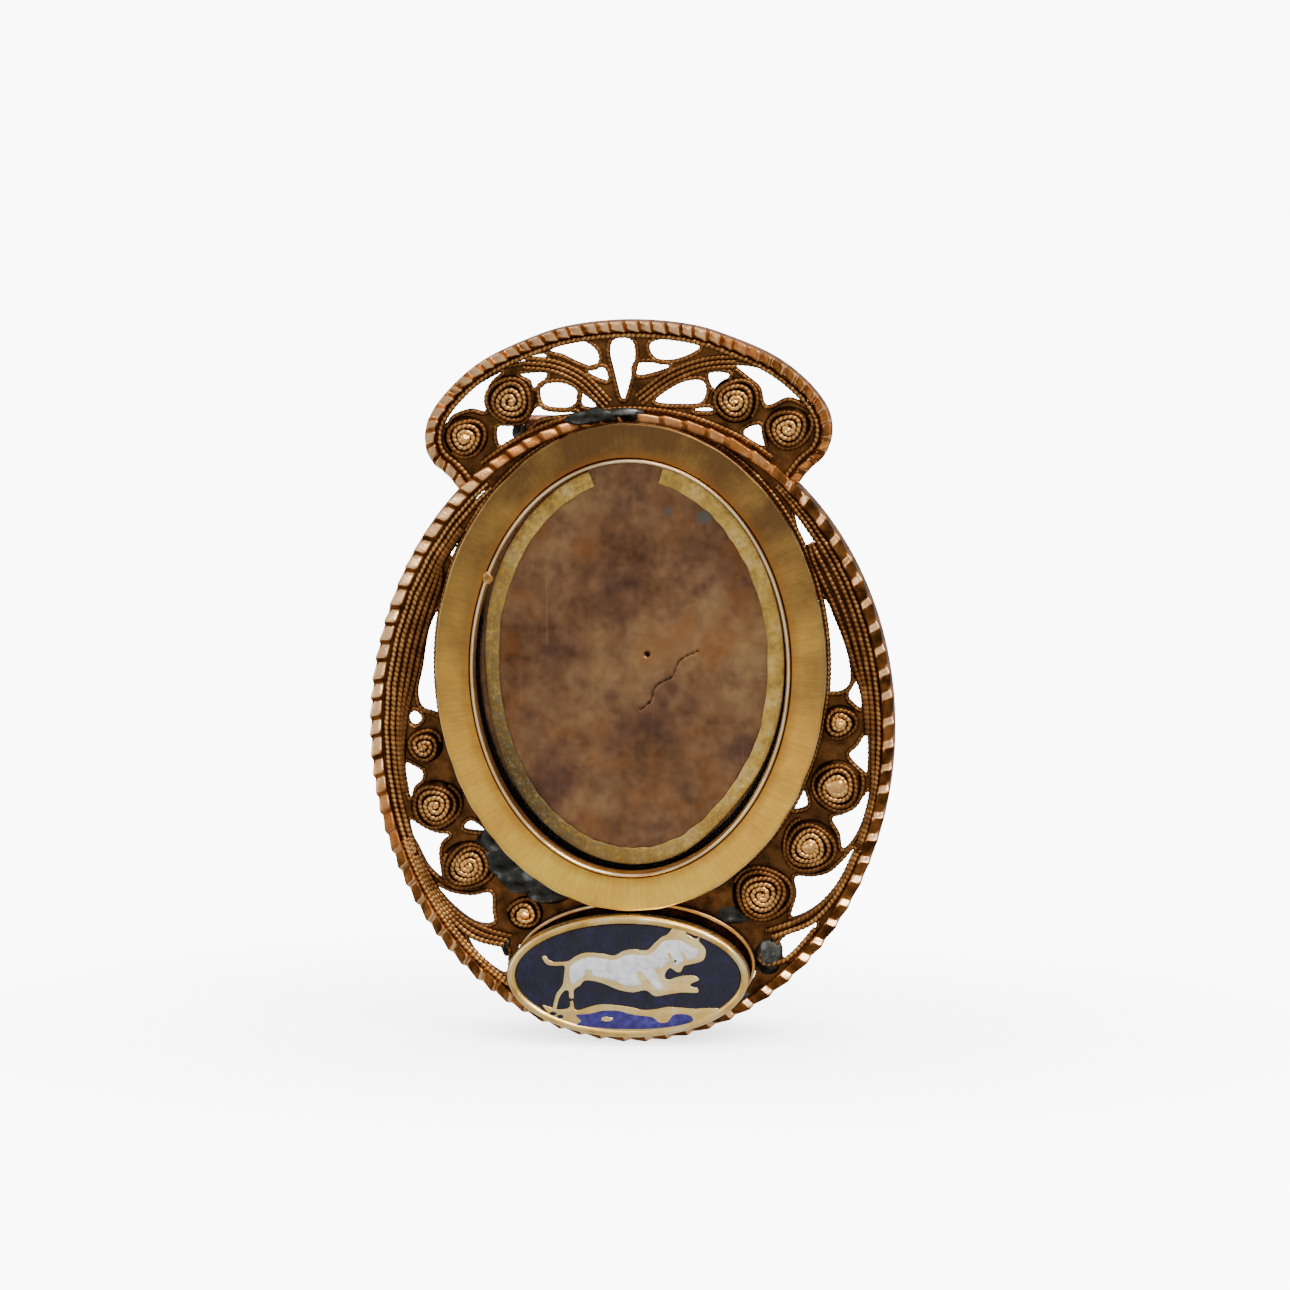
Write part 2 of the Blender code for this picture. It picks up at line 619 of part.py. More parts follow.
def make_bezel():
    """The flange, the ring whose front edge is the lip, and the glass."""
    outer = FLANGE_OVERHANG
    inner = LIP_OUT + GAP
    flange = [
        (inner, FLANGE_BACK),
        (outer - 0.08 * MM, FLANGE_BACK),
        (outer, FLANGE_BACK + 0.1 * MM),
        (outer, FLANGE_FRONT - 0.16 * MM),
        (outer - 0.08 * MM, FLANGE_FRONT - 0.06 * MM),
        (outer - 0.2 * MM, FLANGE_FRONT - 0.02 * MM),
        (outer - 0.6 * MM, FLANGE_FRONT),
        (inner + 0.45 * MM, FLANGE_FRONT),
        (inner, FLANGE_FRONT + 0.12 * MM),
    ]
    oval_section("bezel_flange", flange, bezel_gold())
    ring = [
        (SLEEVE_IN, SLEEVE_BACK),
        (SLEEVE_OUT, SLEEVE_BACK),
        (SLEEVE_OUT, SHOULDER_FRONT),
        (LIP_OUT, SHOULDER_FRONT),
        (LIP_OUT, LIP_FRONT - 0.05 * MM),
        (LIP_OUT - 0.05 * MM, LIP_FRONT),
        (LIP_IN + LIP_SLOPE, LIP_FRONT),
        (LIP_IN, SHOULDER_FRONT),
        (LIP_IN, SHOULDER_FRONT - SHOULDER),
        (SLEEVE_IN, SHOULDER_FRONT - SHOULDER),
    ]
    oval_section("bezel_ring", ring, bezel_gold())
    glass = finish("glass", "F2F6F2", 0.03, transmission=1.0)
    flat_solid("glass_pane", [oval(GLASS_OUT)], GLASS_FRONT - GLASS_THICKNESS, GLASS_FRONT, glass)


def make_lid():
    """The back lid with its snap rim and thumb piece, hung on three knuckles and a pin at the wearer's right."""
    flat_solid("lid_plate", [oval(WALL_OUT)], 0.0, LID_THICKNESS, bezel_gold())
    edge = WALL_IN - LID_FIT
    back = LID_THICKNESS + GAP / 2
    rim = [oval(edge), oval(edge - LID_RIM_WALL)]
    flat_solid("lid_rim", rim, back, back + LID_RIM_DEPTH, bezel_gold())
    root = SEAT_A + WALL_OUT + GAP
    half = THUMB_WIDTH / 2
    tab = smooth([(root, half), (root + THUMB_REACH * 0.8, half * 0.7), (root + THUMB_REACH, 0.0)], steps=4)
    tab += [(x, -z) for x, z in tab[-2::-1]]
    flat_solid("thumb_piece", [tab], 0.08 * MM, LID_THICKNESS - 0.04 * MM, bezel_gold())
    pitch = KNUCKLE_LENGTH + GAP
    knuckles = {"lid_knuckle": 0.0, "case_knuckle_top": pitch, "case_knuckle_bottom": -pitch}
    for name, z in knuckles.items():
        place = (HINGE_X, -HINGE_DEPTH, z)
        tube(name, KNUCKLE_RADIUS, KNUCKLE_BORE, KNUCKLE_LENGTH, place, (0.0, 0.0, 0.0), bezel_gold(), 16)
    half = 1.5 * pitch + 0.1 * MM
    pin = [(0.0, half), (PIN_RADIUS, half), (PIN_RADIUS, -half), (0.0, -half)]
    place = (HINGE_X, -HINGE_DEPTH, 0.0)
    turned("hinge_pin", pin, place, (0.0, 0.0, 0.0), bezel_gold(), 12)


def make_chain_tube():
    """The tube behind the oval's top that the chain or ribbon runs through."""
    red = metal("red_gold", "7C4030", 0.45)
    half = TUBE_LENGTH / 2
    roll = 0.08 * MM
    profile = [
        (TUBE_RADIUS - roll, half),
        (TUBE_RADIUS, half - roll),
        (TUBE_RADIUS, roll - half),
        (TUBE_RADIUS - roll, -half),
        (TUBE_BORE, -half),
        (TUBE_BORE, half),
    ]
    place = (0.0, -TUBE_DEPTH, TUBE_Z)
    turned("chain_tube", profile, place, (0.0, math.pi / 2, 0.0), red, 24)


# Plaque: the drawing is laid out in mm from the plaque's centre, on an oval of these half axes

DRAWING_WIDTH = 6.08
DRAWING_HEIGHT = 3.1

DOG_OUTLINE = [
    (-4.28, 0.96), (-4.15, 1.03), (-3.88, 0.77), (-3.4, 0.74), (-2.94, 0.82), (-2.63, 1.04), (-2.14, 1.22),
    (-1.3, 1.18), (-0.68, 1.09), (-0.18, 1.33), (0.45, 1.42), (1.05, 1.43), (1.38, 1.74), (1.7, 2.0), (2.0, 2.11),
    (2.28, 2.22), (2.62, 2.22), (2.95, 2.12), (3.35, 1.9), (3.55, 1.8), (3.86, 1.5), (3.91, 1.12), (3.72, 0.84),
    (3.06, 0.67), (2.83, 0.6), (2.66, 0.31), (2.43, 0.31), (2.12, 0.47), (1.87, 0.16), (2.0, -0.08), (2.45, 0.03),
    (2.95, 0.11), (3.37, 0.09), (3.6, -0.1), (3.42, -0.26), (3.2, -0.36), (3.48, -0.52), (3.54, -0.72),
    (3.3, -0.82), (2.7, -0.77), (2.03, -0.87), (1.36, -0.95), (0.91, -0.74), (0.24, -0.8), (-0.18, -0.77),
    (-0.6, -0.6), (-1.3, -0.36), (-2.1, -0.26), (-2.42, -0.5), (-2.7, -0.7), (-2.72, -1.06), (-2.94, -1.08),
    (-2.98, -0.76), (-3.18, -0.76), (-3.42, -1.12), (-3.56, -1.46), (-3.78, -1.46), (-3.62, -0.94), (-3.32, -0.52),
    (-3.3, -0.18), (-3.2, 0.5), (-3.56, 0.53), (-4.0, 0.58),
]
DOG_BODY = [
    (-2.92, 0.45), (-2.64, 0.74), (-2.27, 0.9), (-1.74, 0.96), (-1.18, 0.9), (-0.67, 0.84), (-0.2, 1.03),
    (0.4, 1.13), (0.92, 1.09), (1.24, 1.25), (1.5, 1.5), (1.74, 1.72), (2.1, 1.84), (2.6, 1.86), (2.9, 1.73),
    (3.28, 1.52), (3.58, 1.4), (3.52, 1.16), (3.3, 0.98), (2.94, 0.93), (2.86, 1.25), (2.66, 1.22), (2.62, 0.76),
    (2.48, 0.63), (2.26, 0.85), (2.18, 1.28), (1.96, 1.24), (1.92, 0.75), (1.7, 0.47), (1.43, 0.41), (1.5, 0.06),
    (1.68, -0.35), (1.7, -0.55), (1.38, -0.56), (1.15, -0.24), (0.88, 0.12), (0.62, 0.3), (0.46, 0.22),
    (0.52, -0.06), (0.7, -0.36), (0.24, -0.47), (-0.2, -0.42), (-0.65, -0.22), (-1.3, -0.04), (-1.74, 0.05),
    (-1.84, 0.28), (-2.04, 0.3), (-2.2, 0.04), (-2.5, -0.2), (-2.82, -0.34),
]
GROUND_TOP = [
    (-3.9, -1.66), (-3.52, -1.73), (-3.08, -1.74), (-2.88, -1.5), (-2.76, -1.5), (-2.58, -1.74), (-1.96, -1.55),
    (-1.38, -1.42), (-0.62, -1.44), (0.24, -1.56), (0.69, -1.66), (1.36, -1.62), (2.03, -1.51), (2.7, -1.54),
    (3.37, -1.57), (3.9, -1.54),
]
GROUND_END = 127.0
BLUE_FIELD = [
    (-2.45, -1.99), (-1.96, -1.9), (-1.38, -1.77), (-0.98, -1.71), (-0.42, -1.74), (0.24, -1.9), (1.14, -2.0),
    (1.38, -2.1), (1.6, -2.22), (1.98, -2.2), (2.24, -1.95), (2.62, -1.86), (2.95, -1.93), (2.92, -2.08),
    (2.5, -2.22), (1.8, -2.36), (0.91, -2.46), (-0.4, -2.49), (-1.3, -2.45), (-2.0, -2.34), (-2.36, -2.2),
]


def drawn(points):
    """Points of the drawing, put in place on the plaque."""
    wide = PLAQUE_HALF_WIDTH / DRAWING_WIDTH
    high = PLAQUE_HALF_HEIGHT / DRAWING_HEIGHT
    return [(PLAQUE_OFFSET + x * wide, PLAQUE_Z + z * high) for x, z in points]


def plaque_arc(offset, first=0.0, last=360.0, count=OVAL_POINTS):
    """Points along the plaque's outline moved outwards, clockwise from the top, in degrees."""
    steps = [math.radians(first + (last - first) * i / count) for i in range(count + 1)]
    centre = (PLAQUE_OFFSET, PLAQUE_Z)
    points = [oval_point(angle, offset, PLAQUE_HALF_WIDTH, PLAQUE_HALF_HEIGHT, centre) for angle in steps]
    return points[:-1] if last - first == 360.0 else points


def inset(points):
    """A closed clockwise outline moved inwards, to stand clear of its neighbour."""
    return beside(points, -ENAMEL_GAP, closed=True)


def make_collet():
    """The thin oval cup under the case, and the ring in it that holds the plaque proud."""
    centre = (COLLET_OFFSET, COLLET_Z)
    back = FRAME_BACK + 0.1 * MM
    floor_front = back + COLLET_FLOOR
    red = metal("red_gold", "7C4030", 0.45)

    def ring(offset):
        return oval(offset, COLLET_HALF_WIDTH, COLLET_HALF_HEIGHT, centre, 48)

    cup = flat_solid("collet", [ring(0.0)], back, FRAME_FRONT, red)
    hollow = flat_solid("collet_hollow", [ring(-COLLET_WALL)], floor_front, FRAME_FRONT + 1 * MM, None, GUIDES)
    carve(cup, hollow)
    outer = -COLLET_WALL - BEARER_INSET
    bearer = [ring(outer), ring(outer - COLLET_WALL)]
    flat_solid("plaque_bearer", bearer, floor_front + GAP, PLAQUE_BACK - GAP, red)


def make_plaque():
    """The gold tray, and the enamels and gold drawing that stand on its floor."""
    floor = PLAQUE_BACK + PLAQUE_FLOOR
    tray = flat_solid("plaque_tray", [plaque_arc(0.0)], PLAQUE_BACK, PLAQUE_FRONT, pale_gold())
    edge = -PLAQUE_BORDER
    hollow = flat_solid("tray_hollow", [plaque_arc(edge)], floor, PLAQUE_FRONT + 1 * MM, None, GUIDES)
    carve(tray, hollow)
    back = floor + ENAMEL_GAP
    front = PLAQUE_FRONT - ENAMEL_GAP
    edge -= ENAMEL_GAP
    navy = finish("enamel_navy", "2F2B38", 0.18)
    white = finish("enamel_white", "C9C6CC", 0.22)
    blue = finish("enamel_blue", "46468A", 0.2)
    line = drawn(GROUND_TOP)
    sky = plaque_arc(edge, -GROUND_END + 1.0, GROUND_END - 1.0, 48) + beside(line, ENAMEL_GAP / 2)[::-1]
    dog = drawn(DOG_OUTLINE)
    body = drawn(DOG_BODY)
    flat_solid("enamel_navy", [sky, dog], back, front - ENAMEL_GAP, navy)
    flat_solid("dog_cloison", [inset(dog), body], back, front, pale_gold())
    flat_solid("enamel_dog", [inset(body)], back, front - ENAMEL_GAP, white)
    ground = plaque_arc(edge, GROUND_END + 1.0, 359.0 - GROUND_END, 32) + beside(line, -ENAMEL_GAP / 2)
    field = drawn(BLUE_FIELD)
    flat_solid("ground_cloison", [ground, field], back, front, pale_gold())
    flat_solid("enamel_blue", [inset(field)], back, front - ENAMEL_GAP, blue)


def main():
    """Build the locket."""
    clear_scene()
    make_frame()
    make_side_filigree()
    make_crown_filigree()
    make_rosettes()
    make_case()
    make_bezel()
    make_lid()
    make_chain_tube()
    make_collet()
    make_plaque()


main()
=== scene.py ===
"""Looks of the filigree locket: notched gold strips, twisted-wire filigree, glazed case and enamelled plaque.

Sizes inside the classes are millimetres: x to the right, z up, depth forward from the back lid's outer face.
"""

import logging
import math
from collections.abc import Callable, Sequence
from dataclasses import dataclass, field, replace
from enum import Enum

import bmesh
import bpy
import numpy as np
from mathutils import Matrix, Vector

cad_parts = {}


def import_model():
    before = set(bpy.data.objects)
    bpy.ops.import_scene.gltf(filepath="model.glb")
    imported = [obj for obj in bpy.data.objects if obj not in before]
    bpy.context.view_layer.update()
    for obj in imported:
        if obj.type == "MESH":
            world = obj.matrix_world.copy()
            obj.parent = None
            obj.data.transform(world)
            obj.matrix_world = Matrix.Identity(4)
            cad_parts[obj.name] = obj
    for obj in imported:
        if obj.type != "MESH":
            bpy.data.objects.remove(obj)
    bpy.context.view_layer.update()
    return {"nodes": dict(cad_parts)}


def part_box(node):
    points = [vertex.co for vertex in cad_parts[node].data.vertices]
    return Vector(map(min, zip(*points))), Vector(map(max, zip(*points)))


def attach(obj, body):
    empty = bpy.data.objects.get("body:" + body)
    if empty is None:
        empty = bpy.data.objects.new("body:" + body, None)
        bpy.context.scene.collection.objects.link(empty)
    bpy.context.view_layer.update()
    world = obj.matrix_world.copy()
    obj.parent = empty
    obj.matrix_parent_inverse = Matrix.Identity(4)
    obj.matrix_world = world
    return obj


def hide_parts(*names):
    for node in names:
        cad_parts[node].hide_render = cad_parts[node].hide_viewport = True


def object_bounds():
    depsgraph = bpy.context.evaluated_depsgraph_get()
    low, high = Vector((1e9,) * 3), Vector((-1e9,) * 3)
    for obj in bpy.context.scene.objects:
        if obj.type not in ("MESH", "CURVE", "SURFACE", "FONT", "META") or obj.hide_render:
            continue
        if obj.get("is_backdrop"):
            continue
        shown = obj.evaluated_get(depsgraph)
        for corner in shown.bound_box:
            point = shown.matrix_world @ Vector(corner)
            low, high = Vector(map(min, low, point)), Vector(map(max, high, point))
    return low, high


MM = 0.001
TAU = math.tau
Line = list[tuple[float, float]]
Socket = bpy.types.NodeSocket
LOG = logging.getLogger("locket")


class Body(Enum):
    """The CAD bodies that pieces ride on."""

    FRAME = "frame"
    LID = "lid"
    BEZEL = "bezel"


class Side(Enum):
    """Left and right as the front shows them, by the sign of x."""

    LEFT = -1
    RIGHT = 1


@dataclass(frozen=True)
class Extent:
    """Where a CAD node is at rest: half sizes and middle as (x, z), and the depths of its back and front."""

    half: tuple[float, float]
    middle: tuple[float, float]
    back: float
    front: float


def extent(node: str) -> Extent:
    """The extent of a CAD node, in millimetres."""
    low, high = (np.array(corner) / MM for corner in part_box(node))
    half, middle = (high - low) / 2, (low + high) / 2
    return Extent((half[0], half[2]), (middle[0], middle[2]), -high[1], -low[1])


# Shapes as arrays


@dataclass
class Shape:
    """Points, faces and per-point values of one surface, in millimetres as (x, z, depth)."""

    points: np.ndarray
    quads: np.ndarray = field(default_factory=lambda: np.zeros((0, 4), int))
    tris: np.ndarray = field(default_factory=lambda: np.zeros((0, 3), int))
    tone: np.ndarray | None = None
    uv: np.ndarray | None = None

    def toned(self) -> np.ndarray:
        """The tone of each point, a half where none was given."""
        return np.full(len(self.points), 0.5) if self.tone is None else self.tone

    def mapped(self) -> np.ndarray:
        """The UV of each point, its x and z where none was given."""
        return self.points[:, :2] / 10 if self.uv is None else self.uv


def joined(shapes: Sequence[Shape]) -> Shape:
    """Put several shapes into one.

    Args:
        shapes: The shapes, which keep their order.

    Returns:
        One shape with every face numbered afresh.
    """
    starts = np.cumsum([0] + [len(s.points) for s in shapes[:-1]])
    return Shape(
        np.concatenate([s.points for s in shapes]),
        np.concatenate([s.quads + k for s, k in zip(shapes, starts)]),
        np.concatenate([s.tris + k for s, k in zip(shapes, starts)]),
        np.concatenate([s.toned() for s in shapes]),
        np.concatenate([s.mapped() for s in shapes]),
    )


def lattice(
    points: np.ndarray,
    around: bool,
    across: bool,
    tone: np.ndarray | None = None,
    uv: np.ndarray | None = None,
    caps: bool = False,
) -> Shape:
    """Turn a grid of points into a surface; each cell (i, j) is the quad to (i+1, j+1).

    Args:
        points: Rows by columns by three.
        around: Whether the last row joins the first.
        across: Whether the last column joins the first.
        tone: A value for each grid point.
        uv: A pair for each grid point.
        caps: Whether the open ends of a tube are closed by fans to their middles.

    Returns:
        The surface.
    """
    rows, columns = points.shape[:2]
    index = np.arange(rows * columns).reshape(rows, columns)
    below = np.roll(index, -1, 0) if around else index[1:]
    here = index if around else index[:-1]
    right_here, right_below = np.roll(here, -1, 1), np.roll(below, -1, 1)
    quads = np.stack([here, right_here, right_below, below], -1)
    quads = quads if across else quads[:, :-1]
    flat = points.reshape(-1, 3)
    tone = np.full(rows * columns, 0.5) if tone is None else np.broadcast_to(tone, (rows, columns)).ravel()
    uv = flat[:, :2] / 10 if uv is None else uv.reshape(-1, 2)
    tris = np.zeros((0, 3), int)
    if caps:
        fans = []
        for ring in (index[0], index[-1]):
            middle = len(flat)
            flat = np.concatenate([flat, flat[ring].mean(0, keepdims=True)])
            tone = np.append(tone, tone[ring].mean())
            uv = np.concatenate([uv, uv[ring].mean(0, keepdims=True)])
            fans.append(np.stack([ring, np.roll(ring, -1), np.full(len(ring), middle)], -1))
        tris = np.concatenate(fans)
    return Shape(flat, quads.reshape(-1, 4), tris, tone, uv)


def oval_points(
    angle: np.ndarray, offset: np.ndarray | float, half: tuple[float, float], centre: tuple[float, float],
) -> np.ndarray:
    """Points of an ellipse moved along its normal: (a sin t, b cos t) + offset times the unit normal.

    Args:
        angle: The ellipse's parameter, clockwise from the top.
        offset: Distance outwards.
        half: Half width and half height.
        centre: Its middle.

    Returns:
        An array of (x, z).
    """
    nx, nz = np.sin(angle) / half[0], np.cos(angle) / half[1]
    length = np.hypot(nx, nz)
    x = centre[0] + half[0] * np.sin(angle) + offset * nx / length
    z = centre[1] + half[1] * np.cos(angle) + offset * nz / length
    return np.stack([x, z], -1)


def oval_ring(
    profile: np.ndarray, half: tuple[float, float], centre: tuple[float, float] = (0.0, 0.0), count: int = 288,
) -> Shape:
    """Carry a closed profile of (offset, depth) round an ellipse.

    Args:
        profile: Points of (offset, depth), a closed loop.
        half: Half width and half height of the ellipse.
        centre: Its middle.
        count: Steps round it.

    Returns:
        A ring whose UV is (arc length, offset) in centimetres.
    """
    angle = np.linspace(0, TAU, count, endpoint=False)[:, None]
    flat = oval_points(angle, profile[None, :, 0], half, centre)
    depth = np.broadcast_to(profile[None, :, 1], flat.shape[:2])
    arc = np.broadcast_to(angle * (half[0] + half[1]) / 2, depth.shape)
    uv = np.stack([arc / 10, np.broadcast_to(profile[None, :, 0], depth.shape) / 10], -1)
    return lattice(np.concatenate([flat, depth[..., None]], -1), True, True, uv=uv)


def rounded(corners: Sequence[tuple[float, float, float]], steps: int = 4) -> np.ndarray:
    """Round the corners of a closed profile with quadratic curves.

    Args:
        corners: (offset, depth, radius) of each corner.
        steps: Points on each rounded corner.

    Returns:
        The profile's points.
    """
    spot = np.array(corners, float)[:, :2]
    radius = np.array(corners, float)[:, 2]
    back, ahead = np.roll(spot, 1, 0) - spot, np.roll(spot, -1, 0) - spot
    start = spot + back * (radius / np.linalg.norm(back, axis=1))[:, None]
    end = spot + ahead * (radius / np.linalg.norm(ahead, axis=1))[:, None]
    t = np.linspace(0, 1, steps)[None, :, None]
    return ((1 - t) ** 2 * start[:, None] + 2 * t * (1 - t) * spot[:, None] + t**2 * end[:, None]).reshape(-1, 2)


def spline(points: Sequence[Sequence[float]], closed: bool = False, steps: int = 6) -> np.ndarray:
    """A Catmull-Rom curve through the points.

    Args:
        points: Points of any dimension.
        closed: Whether it joins up.
        steps: Points for each span.

    Returns:
        The curve's points; a closed one doesn't repeat its first.
    """
    p = np.array(points, float)
    if closed:
        a, b, c, d = np.roll(p, 1, 0), p, np.roll(p, -1, 0), np.roll(p, -2, 0)
    else:
        wide = np.concatenate([p[:1], p, p[-1:]])
        a, b, c, d = wide[:-3], wide[1:-2], wide[2:-1], wide[3:]
    t = np.linspace(0, 1, steps, endpoint=False)[None, :, None]
    a, b, c, d = (q[:, None] for q in (a, b, c, d))
    curve = 0.5 * (2 * b + (c - a) * t + (2 * a - 5 * b + 4 * c - d) * t**2 + (3 * b - a - 3 * c + d) * t**3)
    curve = curve.reshape(-1, p.shape[1])
    return curve if closed else np.concatenate([curve, p[-1:]])


def evenly(line: np.ndarray, step: float, closed: bool) -> tuple[np.ndarray, np.ndarray]:
    """Take points at even distances along a line.

    Args:
        line: Points of any dimension, of which the first two are x and z.
        step: Distance between them, changed a little to fit.
        closed: Whether the line joins up.

    Returns:
        The points, and the distance of each from the start.
    """
    full = np.concatenate([line, line[:1]]) if closed else line
    run = np.concatenate([[0.0], np.cumsum(np.linalg.norm(np.diff(full[:, :2], axis=0), axis=1))])
    count = max(6, round(run[-1] / step))
    at = np.linspace(0, run[-1], count, endpoint=not closed)
    return np.stack([np.interp(at, run, full[:, k]) for k in range(full.shape[1])], -1), at


def sideways(line: np.ndarray, closed: bool) -> np.ndarray:
    """Unit normals of a flat line, on the left of its direction."""
    ahead = np.roll(line, -1, 0) - np.roll(line, 1, 0)
    if not closed:
        ahead[0], ahead[-1] = line[1] - line[0], line[-1] - line[-2]
    ahead = ahead / np.maximum(np.linalg.norm(ahead, axis=1), 1e-9)[:, None]
    return np.stack([-ahead[:, 1], ahead[:, 0]], -1)


def grown(line: np.ndarray, distance: float) -> np.ndarray:
    """A closed line moved outwards, whichever way it runs.

    Args:
        line: The line's (x, z) points.
        distance: How far.

    Returns:
        The moved line.
    """
    x, z = line[:, 0], line[:, 1]
    area = np.sum(x * np.roll(z, -1) - np.roll(x, -1) * z) / 2
    return line - math.copysign(distance, area) * sideways(line, True)


def twisted(
    line: np.ndarray, depth: np.ndarray | float, radius: float, closed: bool, glow: np.ndarray | float = 0.6,
    pitch: float = 0.25, dent: float = 0.24,
) -> Shape:
    """A twisted wire along a flat line.

    Its radius at distance s and turn f is radius * (1 - dent * (1 - |sin(pi (s / pitch + f / turn))| ** 0.7)), so the
    strands read as a row of slanted beads. Its tone is the bulge, times how far it faces forward, times the glow: dark
    between the beads and where it faces back, partly patina and partly painted shade.

    Args:
        line: (x, z) points, any spacing.
        depth: Depth of the wire's middle, one value or one for each point.
        radius: Greatest radius.
        closed: Whether the wire is a loop.
        glow: How polished the crests are, one value or one for each point.
        pitch: Length of a bead.
        dent: Depth of the hollows, as a share of the radius.

    Returns:
        A closed tube.
    """
    count = len(line)
    track = np.column_stack([line, np.broadcast_to(depth, count), np.broadcast_to(glow, count)])
    track, run = evenly(track, pitch / 6, closed)
    total = run[-1] + (run[1] if closed else 0.0)
    pitch = total / max(1, round(total / pitch))
    normal = sideways(track[:, :2], closed)
    turn = np.arange(8)[None] * TAU / 8
    bulge = np.abs(np.sin(math.pi * (run[:, None] / pitch + turn / TAU))) ** 0.7
    reach = radius * (1 - dent * (1 - bulge))
    flat = track[:, None, :2] + (reach * np.cos(turn))[..., None] * normal[:, None]
    high = track[:, None, 2] + reach * np.sin(turn)
    # Tone: dark between the beads and on the back of the wire, partly patina and partly painted shade; bright crests
    # are wear.
    tone = np.clip(
        0.12 + track[:, None, 3] * (0.3 + 0.7 * bulge**1.6) * np.clip(0.2 + 0.8 * np.sin(turn), 0, 1), 0, 1,
    )
    return lattice(np.concatenate([flat, high[..., None]], -1), closed, True, tone, caps=not closed)


def flat_shape(
    outlines: Sequence[np.ndarray | Line], back: float, front: float, bevel: float = 0.0, tone: float = 0.22,
) -> Shape:
    """A flat plate between two depths; outlines inside others are holes.

    Args:
        outlines: Closed lines of (x, z).
        back: Depth of its back.
        front: Depth of its front.
        bevel: Size of its rounded edge.
        tone: One tone for all of it.

    Returns:
        The plate as triangles.
    """
    curve = bpy.data.curves.new("plate", "CURVE")
    curve.dimensions, curve.fill_mode = "2D", "BOTH"
    curve.extrude = ((front - back) / 2 - bevel) * MM
    curve.bevel_depth, curve.bevel_resolution, curve.offset = bevel * MM, 2, -bevel * MM
    for outline in outlines:
        run = curve.splines.new("POLY")
        run.points.add(len(outline) - 1)
        rows = np.column_stack([np.array(outline, float) * MM, np.zeros(len(outline)), np.ones(len(outline))])
        run.points.foreach_set("co", rows.ravel())
        run.use_cyclic_u = True
    holder = bpy.data.objects.new("plate", curve)
    mesh = bpy.data.meshes.new_from_object(holder)
    made = bmesh.new()
    made.from_mesh(mesh)
    bmesh.ops.remove_doubles(made, verts=made.verts, dist=1e-7)
    bmesh.ops.triangulate(made, faces=made.faces)
    made.to_mesh(mesh)
    made.free()
    spots = np.zeros(len(mesh.vertices) * 3)
    mesh.vertices.foreach_get("co", spots)
    faces = np.zeros(len(mesh.loops), int)
    mesh.loops.foreach_get("vertex_index", faces)
    bpy.data.objects.remove(holder)
    bpy.data.curves.remove(curve)
    bpy.data.meshes.remove(mesh)
    points = spots.reshape(-1, 3) / MM
    points[:, 2] += (back + front) / 2
    return Shape(points, tris=faces.reshape(-1, 3), tone=np.full(len(points), tone))


def ripple(points: np.ndarray, size: float, seed: float = 0.0) -> np.ndarray:
    """A soft irregular value from -1 to 1: the mean of four sine waves that run in unlike directions.

    Args:
        points: Rows of two or three coordinates.
        size: Length of its waves.
        seed: Shifts it.

    Returns:
        One value for each row.
    """
    ways = np.array(
        [[1.0, 0.31, 0.7], [-0.45, 1.13, 0.4], [0.83, -0.77, -1.1], [0.2, 0.55, 1.3]]
    )[:, : points.shape[-1]]
    phase = np.array([0.4, 1.9, 3.1, 5.2]) + seed
    return np.sin(points @ (ways * TAU / size).T + phase).mean(-1)


def disc(
    half: tuple[float, float], centre: tuple[float, float], height: Callable[[np.ndarray, np.ndarray], np.ndarray],
    back: float, rings: int, count: int = 160,
) -> Shape:
    """A closed oval plate whose front is a height field over rings and spokes, both scaled from the middle.

    Args:
        half: Half width and half height.
        centre: Its middle.
        height: Gives the front's depth from (x, z) rows and the share of the way out.
        back: Depth of its flat back.
        rings: Rings of points.
        count: Spokes.

    Returns:
        The plate.
    """
    share = np.linspace(0, 1, rings + 1)[1:]
    angle = np.linspace(0, TAU, count, endpoint=False)
    spot = (
        np.stack([np.outer(share, half[0] * np.sin(angle)), np.outer(share, half[1] * np.cos(angle))], -1)
        + np.array(centre)
    )
    high = height(spot.reshape(-1, 2), np.repeat(share, count)).reshape(rings, count)
    front = np.concatenate([spot, high[..., None]], -1)
    rear = front[[-1, 0]].copy()
    rear[..., 2] = back
    return lattice(np.concatenate([front, rear]), False, True, caps=True)


def lump(
    middle: tuple[float, float, float], size: tuple[float, float, float], seed: float, tone: float = 0.3,
) -> Shape:
    """A rounded irregular blob: a sphere whose radius is 1 + 0.22 of a soft ripple.

    Args:
        middle: Its (x, z, depth).
        size: Half sizes along the same three.
        seed: Makes each one its own.
        tone: Its tone.

    Returns:
        The blob.
    """
    lat = np.linspace(0.14, math.pi - 0.14, 16)[:, None]
    turn = np.linspace(0, TAU, 26, endpoint=False)[None]
    ball = np.stack([np.sin(lat) * np.cos(turn), np.sin(lat) * np.sin(turn), np.cos(lat) + 0 * turn], -1)
    wave = ripple(ball.reshape(-1, 3), 1.6, seed).reshape(ball.shape[:2])
    ball = ball * (1 + 0.22 * wave)[..., None]
    return lattice(ball * np.array(size) + np.array(middle), False, True, tone + 0.3 * wave, caps=True)


# Putting shapes in the scene


